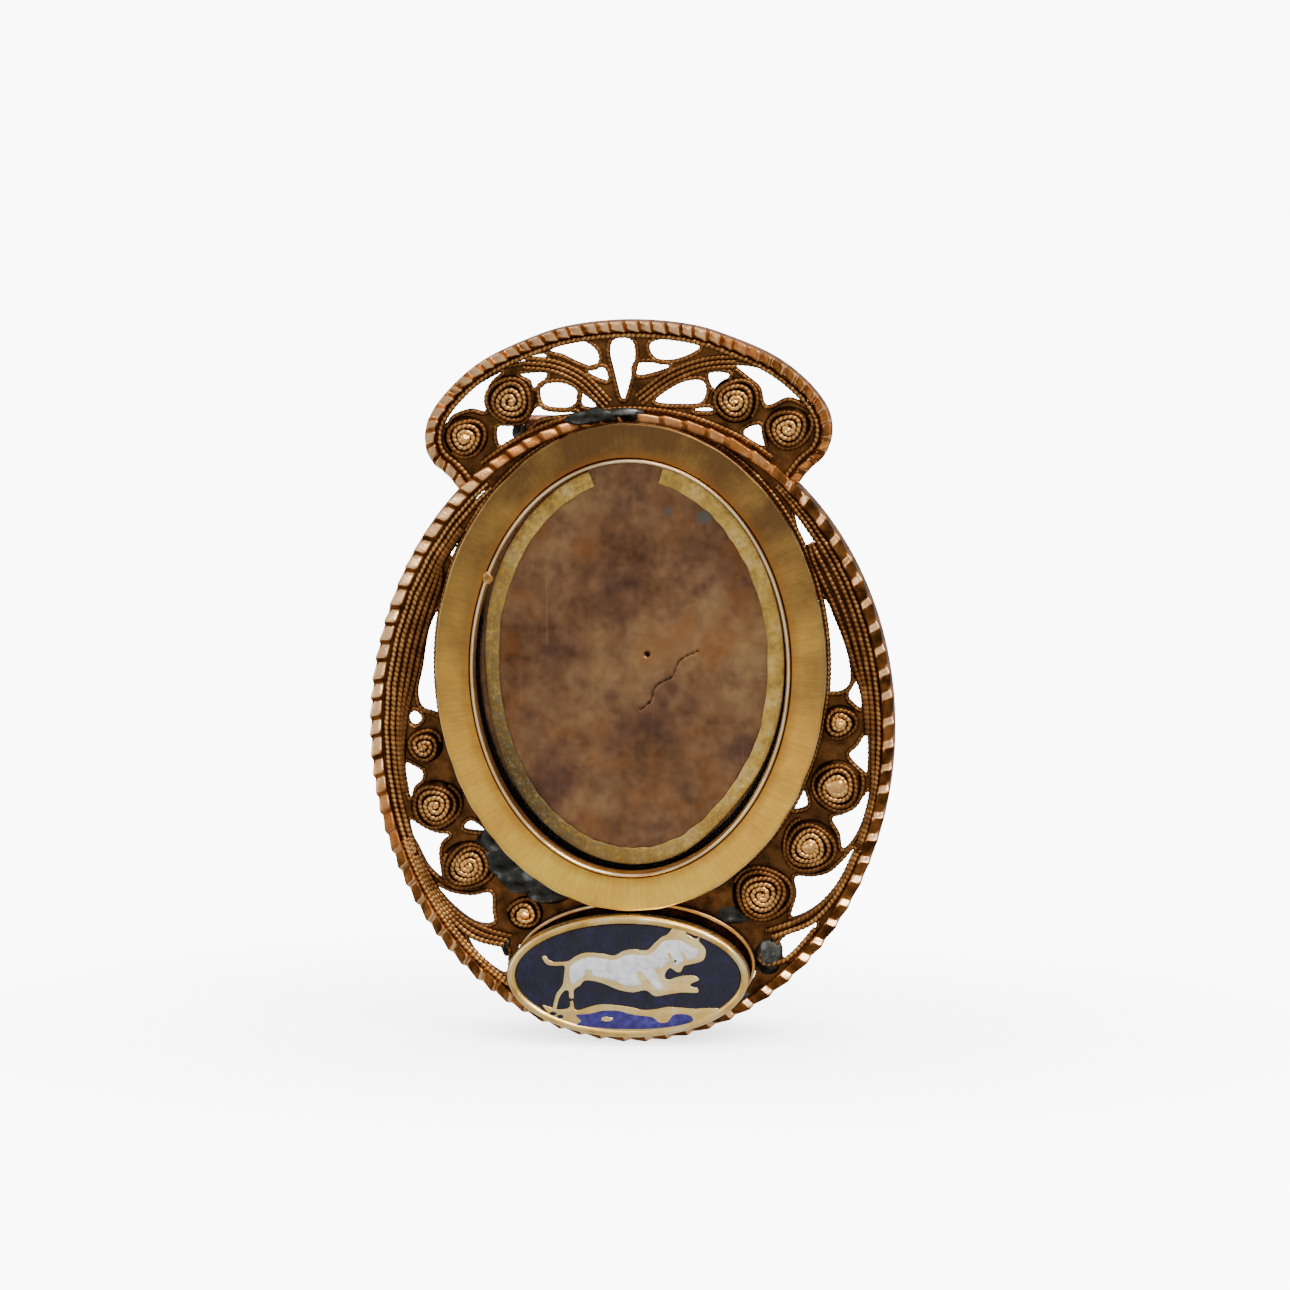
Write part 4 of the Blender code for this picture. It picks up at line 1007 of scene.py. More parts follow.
@dataclass
class Filigree:
    """Dark plates of packed wire between the strips and the case, pierced, with twisted wire round each opening."""

    layout: FrameLayout
    collet: Extent
    back: float = 1.85
    front: float = 2.3
    wire: float = 0.16

    def side_openings(self, side: Side) -> list[Line]:
        """See-through openings of one side, as (x, z)."""
        if side is Side.LEFT:
            return [
                [(-7.5, 8.8), (-7.95, 8.15), (-7.78, 8.0), (-7.38, 8.6)],
                [(-8.55, 6.43), (-9.15, 5.6), (-8.9, 5.35), (-8.42, 6.38)],
                [
                    (-9.4, 2.6), (-9.81, 2.61), (-10.2, 1.76), (-10.4, 0.8), (-10.56, -0.3), (-10.78, -1.3),
                    (-10.74, -1.94), (-10.56, -2.28), (-10.2, -2.43), (-9.4, -2.4), (-9.6, 0.1),
                ],
                [(-10.98, -2.45), (-11.23, -2.7), (-11.18, -3.04), (-10.9, -3.17), (-10.6, -2.87), (-10.7, -2.6)],
                [
                    (-11.4, -5.1), (-11.1, -5.2), (-10.6, -5.5), (-10.6, -5.95), (-10.98, -6.32), (-11.2, -6.9),
                    (-11.43, -5.73),
                ],
                [
                    (-11.2, -8.0), (-10.6, -8.34), (-9.93, -8.64), (-9.25, -8.75), (-9.6, -9.1), (-9.75, -9.6),
                    (-9.7, -10.3), (-9.55, -11.0), (-10.27, -10.36), (-10.8, -9.35), (-11.1, -8.76),
                ],
                [(-8.12, -8.0), (-8.48, -8.43), (-7.43, -8.53)],
                [
                    (-9.83, -11.4), (-9.1, -11.7), (-8.1, -11.83), (-7.15, -11.7), (-7.06, -12.6), (-7.0, -13.14),
                    (-7.43, -13.3), (-8.1, -13.1), (-8.85, -12.55), (-9.5, -11.9),
                ],
                [
                    (-8.3, -13.98), (-8.0, -13.98), (-6.9, -14.3), (-6.39, -14.5), (-6.27, -14.9), (-6.4, -15.79),
                    (-7.18, -15.4), (-7.85, -14.8),
                ],
            ]
        return [
            [(8.11, 7.82), (8.49, 7.65), (9.03, 6.9), (9.15, 6.14), (8.81, 5.9), (8.4, 6.56)],
            [
                (9.3, 3.3), (9.74, 3.34), (10.15, 2.43), (10.56, 1.42), (10.86, 0.41), (10.96, -0.51), (10.81, -1.02),
                (10.24, -1.29), (9.5, -1.0), (9.6, 1.0),
            ],
            [(11.36, -0.77), (11.51, -2.03), (11.15, -1.9), (10.86, -1.48), (11.1, -0.9)],
            [(11.8, -3.4), (11.82, -5.23), (11.57, -5.25), (10.9, -4.5), (11.32, -4.0)],
            [(8.57, -6.15), (8.82, -7.04), (7.98, -7.26), (8.23, -6.66)],
            [
                (11.9, -6.3), (11.61, -7.67), (11.15, -8.68), (10.6, -9.25), (10.44, -8.5), (10.05, -7.7),
                (10.73, -7.42), (11.4, -6.83),
            ],
            [
                (11.15, -9.23), (10.82, -10.28), (10.15, -11.37), (9.32, -12.13), (8.57, -12.6), (8.0, -12.7),
                (8.28, -11.62), (8.2, -10.7), (9.07, -10.66), (9.9, -10.45), (10.57, -9.86),
            ],
            [(11.55, -9.4), (11.23, -10.36), (10.95, -10.95), (10.8, -10.7), (11.15, -10.02)],
            [(9.3, -13.0), (8.98, -13.73), (8.48, -14.4), (7.9, -14.9), (7.53, -14.74), (7.47, -13.98), (8.4, -13.3)],
        ]

    def crown_openings(self) -> list[Line]:
        """See-through openings of the crown, as (x, z)."""
        return [
            [(-6.4, 15.05), (-5.35, 15.42), (-4.4, 15.62), (-4.4, 15.35), (-5.48, 15.2)],
            [
                (-6.48, 14.7), (-7.23, 14.32), (-8.48, 13.5), (-9.2, 12.62), (-9.35, 12.0), (-8.98, 12.5),
                (-8.1, 12.81), (-7.33, 12.72), (-7.29, 13.63), (-6.98, 14.26),
            ],
            [
                (-6.73, 11.9), (-6.66, 11.0), (-6.0, 11.25), (-5.41, 11.65), (-4.6, 12.36), (-2.66, 12.65),
                (-4.1, 12.75), (-4.75, 12.95), (-5.35, 12.11), (-6.1, 11.98),
            ],
            [(-5.6, 14.57), (-4.22, 14.64), (-4.9, 13.88), (-5.1, 14.26)],
            [
                (-4.1, 15.77), (-3.35, 16.15), (-2.6, 16.3), (-1.98, 16.02), (-1.66, 15.58), (-1.73, 15.14),
                (-2.1, 15.0), (-2.85, 15.27), (-3.48, 15.58),
            ],
            [(-1.41, 14.95), (-1.23, 14.28), (-2.23, 14.7)],
            [
                (-0.48, 16.45), (0.03, 16.28), (0.17, 15.65), (0.03, 14.76), (-0.29, 13.56), (-0.44, 13.37),
                (-0.6, 13.56), (-0.9, 14.76), (-1.1, 15.65), (-0.98, 16.28),
            ],
            [
                (-4.6, 13.88), (-4.2, 14.13), (-3.48, 14.16), (-2.85, 13.88), (-2.7, 13.4), (-3.1, 12.95),
                (-3.85, 12.9), (-4.47, 13.1),
            ],
            [(-2.5, 13.65), (-1.75, 13.0), (-2.45, 13.0)],
            [
                (0.9, 15.77), (0.96, 16.21), (1.65, 16.4), (2.65, 16.3), (3.38, 16.05), (3.03, 15.71), (2.15, 15.37),
                (1.28, 15.36),
            ],
            [(0.28, 15.15), (1.15, 15.2), (1.9, 15.0), (0.34, 14.55)],
            [(1.15, 13.25), (2.15, 14.07), (3.03, 14.36), (3.59, 14.26), (3.71, 13.75), (3.46, 13.25), (2.78, 13.12)],
            [(3.84, 14.7), (4.9, 14.64), (4.1, 13.9)],
            [
                (5.21, 15.1), (6.65, 14.9), (7.65, 14.35), (8.6, 13.6), (9.15, 12.85), (8.65, 13.2), (7.78, 13.5),
                (6.9, 13.12), (6.59, 13.25), (6.4, 14.0), (5.65, 14.64),
            ],
            [(5.53, 11.7), (5.9, 12.05), (6.4, 12.1), (6.5, 11.6), (6.6, 11.05), (6.0, 11.3)],
            [(3.28, 12.94), (3.9, 12.97), (4.0, 12.79), (3.15, 12.79)],
        ]

    def edged(self, openings: Sequence[Line]) -> tuple[list[np.ndarray], list[Shape]]:
        """Smooth the openings, and run a twisted wire round each.

        Args:
            openings: Their corners.

        Returns:
            Their smooth outlines, and the wires.
        """
        lines = [spline(o, True, 5) for o in openings]
        wires = [
            twisted(grown(line, 0.1), self.front - 0.02, 0.13, True, 0.36 + 0.1 * math.sin(3.1 * k))
            for k, line in enumerate(lines)
        ]
        return lines, wires

    def rows(
        self, side: Side, stations: Sequence[tuple[float, float, float]], count: int, glow: float,
    ) -> list[Shape]:
        """Twisted wires lying side by side in a ribbon.

        Args:
            side: Which side.
            stations: (degrees, outer edge, inner edge) along the ribbon.
            count: How many wires.
            glow: How polished they are.

        Returns:
            The wires.
        """
        way = spline(stations, steps=10)
        made = []
        for k in range(count):
            width = way[:, 1] + (way[:, 2] - way[:, 1]) * (k + 0.5) / count
            radius = float(np.clip((way[:, 2] - way[:, 1]).max() / count / 2, 0.13, 0.17))
            made.append(
                twisted(
                    self.layout.at_rim(side, way[:, 0], width), self.front + 0.1, radius, False,
                    glow * (1.0 - 0.25 * k),
                )
            )
        return made

    def side_web(self, side: Side) -> None:
        """Make the filigree of one side.

        Args:
            side: Which side.
        """
        lay = self.layout
        angle = np.linspace(0, math.pi, 90)
        flip = np.array([side.value, 1.0])
        outer = oval_points(angle, -lay.strip + 0.12, lay.rim.half, lay.rim.middle)
        inner = oval_points(angle[::-1], -0.1, lay.seat, (0.0, 0.0))
        inner = inner[inner[:, 1] > -11.6]
        gap = oval_points(
            np.linspace(0.16, math.pi - 0.06, 60), 0.02, self.collet.half,
            (self.collet.middle[0] * side.value, self.collet.middle[1]),
        )
        outline = np.concatenate([outer, gap[::-1], inner[inner[:, 0] > 0.9]])
        lines, wires = self.edged(self.side_openings(side))
        plate = flat_shape([outline * flip] + lines, self.back, self.front)
        seat_wire = twisted(
            oval_points(np.linspace(0.1, 2.72, 200), 0.5, lay.seat, (0.0, 0.0)) * flip, self.front + 0.02, self.wire,
            False, 0.45,
        )
        shapes = [plate, seat_wire] + wires
        if side is Side.LEFT:
            shapes += self.rows(
                side, [(36, 0.04, 0.68), (110, 0.04, 0.66), (114, 0.04, 0.36), (150, 0.04, 0.34)], 2, 0.8,
            )
            shapes += self.rows(
                side,
                [
                    (47, 0.74, 1.02), (51, 0.74, 1.0), (56, 0.74, 1.02), (61, 0.74, 1.55), (78, 0.74, 1.68),
                    (88, 0.74, 1.3), (98, 0.74, 0.98), (103, 0.74, 0.96),
                ],
                3, 0.45,
            )
            shapes += self.rows(
                side, [(116, 0.36, 0.62), (124, 0.36, 0.68), (131, 0.38, 0.97), (137, 0.62, 1.6), (143, 1.45, 2.3)],
                3, 0.6,
            )
            nodes = ["rim_wires_left", "inner_wires_left", "scroll_left", "cross_wire_left"]
        else:
            shapes += self.rows(
                side, [(36, 0.04, 0.34), (52, 0.04, 0.66), (90, 0.04, 0.66), (101, 0.04, 0.36), (112, 0.04, 0.34)], 2,
                0.6,
            )
            shapes += self.rows(
                side,
                [
                    (50, 0.72, 1.0), (54, 0.72, 1.4), (62, 0.72, 1.5), (76, 0.72, 1.32), (83, 0.72, 0.96),
                    (91, 0.72, 0.84),
                ],
                2, 0.4,
            )
            shapes += self.rows(
                side, [(114, 0.1, 0.34), (122, 0.08, 0.48), (130, 0.28, 1.08), (136, 1.0, 1.85), (139, 1.35, 2.2)], 2,
                0.6,
            )
            tail = spline([(131.5, 0.2), (139, 0.22), (142, 0.4), (144.5, 0.8), (145, 1.3)])
            shapes.append(twisted(lay.at_rim(side, tail[:, 0], tail[:, 1]), self.front + 0.1, self.wire, False, 0.6))
            nodes = ["rim_wires_right", "inner_wires_right", "scroll_right", "cross_wire_right", "tail_wire_right"]
        place(f"filigree_{side.name.lower()}", joined(shapes), TWISTED_WIRE, Body.FRAME, nodes)

    def crown_web(self) -> None:
        """Make the filigree of the crown."""
        lay = self.layout
        arch = lay.crown_line()
        arch = arch[np.abs(arch[:, 0] - lay.crown_shift) > -1]
        top = arch + 0.2 * -sideways(arch, False)
        angle = np.linspace(math.radians(36.5), -math.radians(38.5), 80)
        base = oval_points(angle, -0.15, lay.rim.half, lay.rim.middle)
        lines, wires = self.edged(self.crown_openings())
        plate = flat_shape([np.concatenate([top, base])] + lines, self.back, self.front)
        inside = evenly(arch, 0.2, False)[0]
        edge = twisted(inside - 0.44 * sideways(inside, False), self.front + 0.1, self.wire, False, 0.6)
        low = twisted(
            oval_points(np.linspace(-0.6, 0.55, 120), 0.16, lay.rim.half, lay.rim.middle), self.front + 0.06,
            self.wire, False, 0.4,
        )
        veins = []
        for way in (
            [(-1.25, 13.1), (-2.5, 14.35), (-3.9, 15.0), (-5.4, 15.15)],
            [(0.35, 13.35), (1.9, 14.5), (3.6, 15.15), (5.2, 15.3)],
        ):
            middle = evenly(spline(way), 0.1, False)[0]
            veins += [
                twisted(middle + k * sideways(middle, False), self.front + 0.05, 0.13, False, 0.42)
                for k in (-0.25, 0.0, 0.25)
            ]
        nodes = (
            [f"{n}_{s}" for n in ("edge_wire", "loop", "petal", "vein") for s in ("left", "right")]
            + ["curl_wire_left", "curl_wire_inner", "curl_wire_outer", "teardrop", "top_wire"]
        )
        place(
            "filigree_crown", joined([plate, edge, low] + veins + wires), TWISTED_WIRE, Body.FRAME, nodes,
        )

    def build(self) -> None:
        """Make both sides and the crown."""
        self.side_web(Side.LEFT)
        self.side_web(Side.RIGHT)
        self.crown_web()


@dataclass(frozen=True)
class Rosette:
    """One raised spiral of twisted wire."""

    node: str
    middle: tuple[float, float]
    radius: float
    wear: float = 0.5
    sense: int = 1
    squash: float = 1.0
    tilt: float = 0.0
    rise: float = 0.5
    cap: float = 0.0
    start: float = 0.0

    def shape(self, base: float) -> Shape:
        """The spiral: r falls evenly with the turn, its depth rises as rise * (1 - (r / R) ** 2), over a dark dome that
        is painted shade between the turns.

        Args:
            base: Depth at its edge.

        Returns:
            The rosette.
        """
        wire, pitch = 0.14, 0.275
        turns = (self.radius - wire - 0.1) / pitch
        turn = np.linspace(0, turns * TAU, int(turns * 60) + 20)
        share = turn / turn[-1]
        reach = (self.radius - wire) * (1 - share) + 0.1 * share
        reach = reach * (1 + 0.05 * np.sin(3.1 * turn + self.start * 5) + 0.04 * np.sin(1.7 * turn + self.start))
        angle = self.sense * turn + self.start
        flat = np.stack([np.cos(angle), self.squash * np.sin(angle)], -1) * reach[:, None]
        c, s = math.cos(self.tilt), math.sin(self.tilt)
        flat = flat @ np.array([[c, s], [-s, c]]) + np.array(self.middle)
        depth = base + self.rise * (1 - (reach / self.radius) ** 2)
        glow = 0.3 + (0.4 + self.wear) * np.clip(1.2 - reach / (0.62 * self.radius), 0, 1)
        coil = twisted(flat, depth, wire, False, glow, 0.23, 0.22)
        span = 0.93 * self.radius

        def dome(spot: np.ndarray, share: np.ndarray) -> np.ndarray:
            """Front depth of the dark dome under the wire, painted shade between its turns."""
            return base - 0.08 + self.rise * (1 - share**2)

        under = disc((span, span * self.squash), self.middle, dome, base - 0.55, 6, 36)
        # Painted shade: the dome is near black so the gaps between the turns read dark.
        under.tone = np.full(len(under.points), 0.03)
        shapes = [coil, under]
        if self.cap:
            worn = lump(
                (self.middle[0], self.middle[1], base + self.rise - 0.1), (self.cap, self.cap * 0.85, 0.26),
                self.start + 2, 0.95,
            )
            shapes.append(worn)
        else:
            shapes.append(
                lump(
                    (self.middle[0] + 0.03, self.middle[1], base + self.rise - 0.02), (0.17, 0.13, 0.16), self.start,
                    0.9 * min(1.0, self.wear + 0.4),
                )
            )
        return joined(shapes)


@dataclass
class Rosettes:
    """The twelve raised spirals."""

    layout: FrameLayout
    base: float = 2.42

    def build(self) -> None:
        """Make each rosette as a piece."""
        lay = self.layout

        def rim(side: Side, degrees: float, width: float) -> tuple[float, float]:
            """The middle of a side rosette."""
            return tuple(lay.at_rim(side, np.array(degrees), np.array(width)).tolist())

        def crown(across: float, up: float) -> tuple[float, float]:
            """The middle of a crown rosette."""
            return tuple(lay.at_crown(np.array(across), np.array(up)).tolist())

        row = [
            Rosette("rosette_left_1", rim(Side.LEFT, 94.2, 2.12), 1.0, 0.35, 1, 0.95, 0.3),
            Rosette("rosette_left_2", rim(Side.LEFT, 107.2, 2.21), 1.38, 0.55, -1, 1.0, 0.0, 0.5, 0.0, 1.0),
            Rosette("rosette_left_3", rim(Side.LEFT, 122.6, 2.67), 1.55, 0.75, 1, 0.86, 0.6, 0.5, 0.0, 2.0),
            Rosette("rosette_left_4", rim(Side.LEFT, 141.3, 3.5), 0.98, 0.9, -1, 0.95, 0.0, 0.5, 0.3, 3.0),
            Rosette("rosette_right_1", rim(Side.RIGHT, 88.3, 2.15), 1.0, 0.6, 1, 0.95, 0.2, 0.5, 0.35, 4.0),
            Rosette("rosette_right_2", rim(Side.RIGHT, 101.9, 2.04), 1.45, 0.8, -1, 1.0, 0.0, 0.55, 0.55, 0.5),
            Rosette("rosette_right_3", rim(Side.RIGHT, 116.4, 2.52), 1.55, 0.8, 1, 0.95, 0.4, 0.5, 0.4, 1.5),
            Rosette("rosette_right_4", rim(Side.RIGHT, 132.4, 3.38), 1.65, 0.6, -1, 0.95, 0.2, 0.5, 0.0, 2.5),
            Rosette("rosette_crown_1", crown(-0.793, 0.491), 1.2, 0.85, 1, 0.95, 0.5, 0.5, 0.3, 3.5),
            Rosette("rosette_crown_2", crown(-0.571, 0.506), 1.35, 0.5, -1, 1.0, 0.0, 0.5, 0.0, 4.5),
            Rosette("rosette_crown_3", crown(0.521, 0.411), 1.3, 0.7, 1, 0.95, 0.0, 0.5, 0.0, 5.5),
            Rosette("rosette_crown_4", crown(0.778, 0.511), 1.3, 0.6, -1, 0.9, 0.4, 0.5, 0.0, 0.2),
        ]
        for one in row:
            place(
                one.node.replace("rosette", "spiral"), one.shape(self.base), TWISTED_WIRE, Body.FRAME, [one.node],
            )


@dataclass
class Bezel:
    """Flat flange and lipped collar of the bezel, which lifts off forwards with the glass."""

    layout: FrameLayout
    flange: tuple[float, float] = (-1.27, 0.47)
    bevelled: float = 0.12
    nub: tuple[float, float, float] = (-7.1, 4.5, 3.98)

    def build(self) -> None:
        """Make the flange and the collar."""
        inner, outer = self.flange
        sheet = extent("bezel_flange")
        back, front = sheet.back, sheet.front - self.bevelled
        edge = rounded(
            [
                (outer, back, 0.05), (outer, front - 0.02, 0.1), (0.2, front + 0.02, 0.1), (-0.75, front + 0.07, 0.2),
                (inner, sheet.front, 0.04), (inner, back, 0.03),
            ]
        )
        face = oval_ring(edge, self.layout.seat, count=480)
        wave = ripple(face.points[:, :2], 4.0, 1.0)
        worn = 0.03 * ripple(face.points[:, :2], 1.7, 3.0)
        face.points[:, 2] += (face.points[:, 2] > back + 0.2) * (0.02 * wave)
        out = face.uv[:, 1] * 10 > 0.4
        face.points[:, :2] *= (1 + (out * (worn - 0.03) / 12))[:, None]
        place("gold_flange", face, FLANGE_GOLD, Body.BEZEL, ["bezel_flange"])
        lip = rounded(
            [
                (-1.19, 2.42, 0.02), (-0.98, 2.42, 0.02), (-0.98, 3.24, 0.02), (-1.31, 3.27, 0.02), (-1.33, 4.0, 0.1),
                (-1.42, 4.09, 0.07), (-1.53, 4.0, 0.1), (-1.55, 3.07, 0.02), (-1.19, 3.07, 0.02),
            ]
        )
        ring = oval_ring(lip, self.layout.seat, count=480)
        height = ring.points[:, 2]
        high = np.clip((height - 3.85) / 0.2, 0, 1)
        inside = ring.uv[:, 1] * 10 < -1.5
        ring.tone = np.clip(0.42 + 0.5 * high - 0.12 * inside + 0.15 * ripple(ring.points[:, :2], 3.0, 2.0), 0, 1)
        ring.points[:, 2] += high * 0.025 * ripple(ring.points[:, :2], 1.3, 5.0) - high * 0.02
        nub = lump(self.nub, (0.26, 0.3, 0.1), 1.0, 0.4)
        place("lip_collar", joined([ring, nub]), LIP_GOLD, Body.BEZEL, ["bezel_ring"])


@dataclass
class BackPlate:
    """Copper sheet behind the glass, with a crack, a pin hole and corrosion, and the C-shaped mat in front of it."""

    layout: FrameLayout
    crack_points: tuple[tuple[float, float], ...] = (
        (3.3, 0.7), (2.4, 0.2), (2.0, -0.6), (1.2, -1.1), (0.9, -1.9), (0.4, -2.3),
    )
    hole: tuple[float, float] = (0.75, 0.5)
    small_ash: tuple[float, float, float, float] = (1.76, 7.8, 0.34, 0.34)
    large_ash: tuple[float, float, float, float] = (3.56, 7.45, 0.6, 0.45)
    mat_ends: tuple[float, float] = (12.5, 342.5)
    mat_inset: float = 1.69

    def crack(self, spot: np.ndarray) -> np.ndarray:
        """How near each point is to the crack or the hole, from 1 on it to 0 away from it."""
        way = spline(self.crack_points, steps=12)
        apart = np.sqrt(((spot[:, None] - way[None]) ** 2).sum(-1)).min(1) + 0.03 * ripple(spot, 0.3)
        hole = np.hypot(spot[:, 0] - self.hole[0], spot[:, 1] - self.hole[1])
        return np.maximum(np.clip(1 - apart / 0.09, 0, 1), np.clip((0.2 - hole) / 0.1, 0, 1))

    def ash(self, spot: np.ndarray) -> np.ndarray:
        """How far each point is in one of the two corroded spots, from 0 to 1."""
        small, large = (
            np.hypot((spot[:, 0] - x) / a, (spot[:, 1] - z) / b)
            for x, z, a, b in (self.small_ash, self.large_ash)
        )
        return np.clip(1.2 - np.minimum(small, large) + 0.25 * ripple(spot, 0.6), 0, 1)

    def plate(self) -> None:
        """The sheet: gently wavy, sunk in the crack and the hole, raised where it is corroded, black beside the mat as
        painted shade of the gap there.
        """
        sheet = extent("backing_plate")

        def surface(spot: np.ndarray, share: np.ndarray) -> np.ndarray:
            """Front depth of each point."""
            bow = 0.03 * ripple(spot, 6.0) + 0.012 * ripple(spot, 1.1, 2.0)
            return sheet.front - 0.05 + bow - 0.1 * self.crack(spot) + 0.03 * self.ash(spot)

        plate = disc(sheet.half, (0.0, 0.0), surface, sheet.back, 150, 400)
        x, z, depth = plate.points.T
        front = depth > sheet.back + 0.001
        out = np.hypot(x / sheet.half[0], z / sheet.half[1])
        # Painted shade: black in the gap beside the mat, towards the bottom.
        painted_gap_shade = np.clip((out - 0.89) / 0.03, 0, 1) * np.clip((6 - z) / 4, 0, 1)
        plate.tone = 0.6 - 0.6 * np.maximum(self.crack(plate.points[:, :2]) * front, painted_gap_shade)
        plate.tone = plate.tone + 0.35 * self.ash(plate.points[:, :2]) * front
        place("copper_plate", plate, PLATE_COPPER, Body.FRAME, ["backing_plate"])

    def mat(self) -> None:
        """The mat: a flat strip round the case, open at the top, narrowed where it has come away from the collar."""
        sheet = extent("mat_ring")
        angle = np.linspace(*np.radians(self.mat_ends), 420)[:, None]
        rag = 0.05 * ripple(np.column_stack([10 * np.cos(angle[:, 0]), 12 * np.sin(angle[:, 0])]), 1.6)
        back, front = sheet.back, sheet.front
        profile = rounded(
            [
                (0.0, back, 0.02), (0.0, front, 0.05), (-0.42, front - 0.02, 0.1), (-0.85, front, 0.05),
                (-0.85, back, 0.02),
            ],
            3,
        )
        turn = np.degrees(angle[:, 0])
        gap = sum(
            most * np.exp(-(((turn - middle) / spread) ** 2))
            for most, middle, spread in ((0.3, 262, 24), (0.12, 215, 32), (0.26, 138, 17))
        )
        inner = profile[None, :, 0] < -0.4
        offset = (
            -self.mat_inset + profile[None, :, 0] + rag[:, None] * inner - gap[:, None] * np.where(inner, 0.4, 1.0)
        )
        flat = oval_points(angle, offset, self.layout.seat, (0.0, 0.0))
        depth = np.broadcast_to(profile[None, :, 1], offset.shape)
        strip = lattice(np.concatenate([flat, depth[..., None]], -1), False, True, caps=True)
        place("mat_strip", strip, MAT_GOLD, Body.FRAME, ["mat_ring"])

    def build(self) -> None:
        """Make the plate and the mat."""
        self.plate()
        self.mat()


@dataclass
class Plaque:
    """Oval dish of pale gold with its enamel picture of a running dog over a field."""

    tray: Extent
    collet: Extent

    def moved(self, points: Line) -> np.ndarray:
        """A drawing's points, from the dish's middle, as a smooth line in place."""
        return spline(points, True, 4) + np.array(self.tray.middle)

    def dog(self) -> Line:
        """The white dog's outline."""
        return [
            (-2.9, 0.45), (-2.3, 0.9), (-1.7, 0.98), (-0.7, 0.86), (-0.2, 1.07), (0.3, 1.16), (0.9, 1.09),
            (1.25, 1.25), (1.5, 1.52), (1.75, 1.8), (2.1, 1.9), (2.6, 1.9), (2.9, 1.74), (3.3, 1.52),
            (3.6, 1.4), (3.5, 1.15), (3.3, 0.98), (2.9, 0.91), (2.6, 0.72), (2.45, 0.6), (2.2, 0.8),
            (1.9, 0.72), (1.7, 0.48), (1.42, 0.4), (1.5, 0.05), (1.68, -0.33), (1.72, -0.58), (1.38, -0.58),
            (1.12, -0.22), (0.85, 0.1), (0.62, 0.3), (0.46, 0.22), (0.52, -0.06), (0.7, -0.38), (0.24, -0.47),
            (-0.2, -0.4), (-0.65, -0.22), (-1.3, -0.04), (-1.75, 0.03), (-1.8, 0.3), (-2.05, 0.32),
            (-2.2, 0.03), (-2.5, -0.24), (-2.85, -0.36),
        ]

    def silhouette(self) -> Line:
        """The gold outline round the dog, with its tail, legs and ragged tuft."""
        return [
            (-4.28, 1.02), (-4.1, 1.0), (-3.86, 0.76), (-3.4, 0.73), (-2.94, 0.8), (-2.6, 1.04), (-2.1, 1.22),
            (-1.3, 1.18), (-0.7, 1.09), (-0.2, 1.34), (0.3, 1.43), (0.7, 1.38), (1.05, 1.43), (1.36, 1.74),
            (1.7, 2.06), (2.0, 2.2), (2.25, 2.5), (2.45, 2.58), (2.88, 2.42), (2.95, 2.24), (3.37, 2.0),
            (3.6, 2.06), (3.6, 1.85), (3.9, 1.5), (3.9, 1.1), (3.7, 0.84), (3.05, 0.66), (2.83, 0.6),
            (2.66, 0.3), (2.43, 0.3), (2.12, 0.48), (1.88, 0.16), (2.0, -0.1), (2.45, 0.03), (2.9, 0.12),
            (3.35, 0.1), (3.6, -0.1), (3.2, -0.29), (3.2, -0.44), (3.5, -0.52), (3.5, -0.76), (2.7, -0.76),
            (2.0, -0.87), (1.36, -0.96), (0.9, -0.67), (0.24, -0.78), (-0.5, -0.65), (-1.3, -0.33),
            (-2.1, -0.2), (-2.4, -0.47), (-2.7, -0.7), (-2.72, -1.1), (-2.94, -1.1), (-2.98, -0.76),
            (-3.2, -0.76), (-3.45, -1.14), (-3.6, -1.69), (-3.78, -1.69), (-3.6, -0.92), (-3.3, -0.5),
            (-3.2, 0.1), (-3.2, 0.52), (-3.6, 0.52), (-4.05, 0.58), (-4.28, 0.86),
        ]

    def ground(self) -> Line:
        """The gold of the ground, from its top line down to the border."""
        return [
            (-4.3, -1.5), (-3.9, -1.6), (-3.5, -1.7), (-2.95, -1.6), (-2.9, -1.3), (-2.74, -1.3), (-2.6, -1.72),
            (-1.96, -1.55), (-1.38, -1.41), (-0.6, -1.44), (0.24, -1.55), (0.7, -1.66), (1.36, -1.62),
            (2.0, -1.5), (2.7, -1.53), (3.4, -1.57), (3.8, -1.53), (4.6, -1.59), (3.6, -2.2), (2.4, -2.56),
            (0.9, -2.78), (-0.9, -2.78), (-2.4, -2.56), (-3.6, -2.2),
        ]

    def field_line(self) -> Line:
        """The blue field's outline."""
        return [
            (-2.6, -1.96), (-1.96, -1.9), (-1.38, -1.75), (-1.0, -1.71), (-0.4, -1.73), (0.24, -1.9),
            (1.14, -2.0), (1.36, -2.09), (1.58, -2.28), (2.0, -2.26), (2.25, -1.93), (2.6, -1.84), (3.1, -1.89),
            (3.28, -2.09), (3.2, -2.25), (2.6, -2.43), (1.8, -2.56), (0.9, -2.64), (-0.43, -2.66),
            (-1.07, -2.64), (-1.96, -2.56), (-2.6, -2.48), (-2.35, -2.27),
        ]

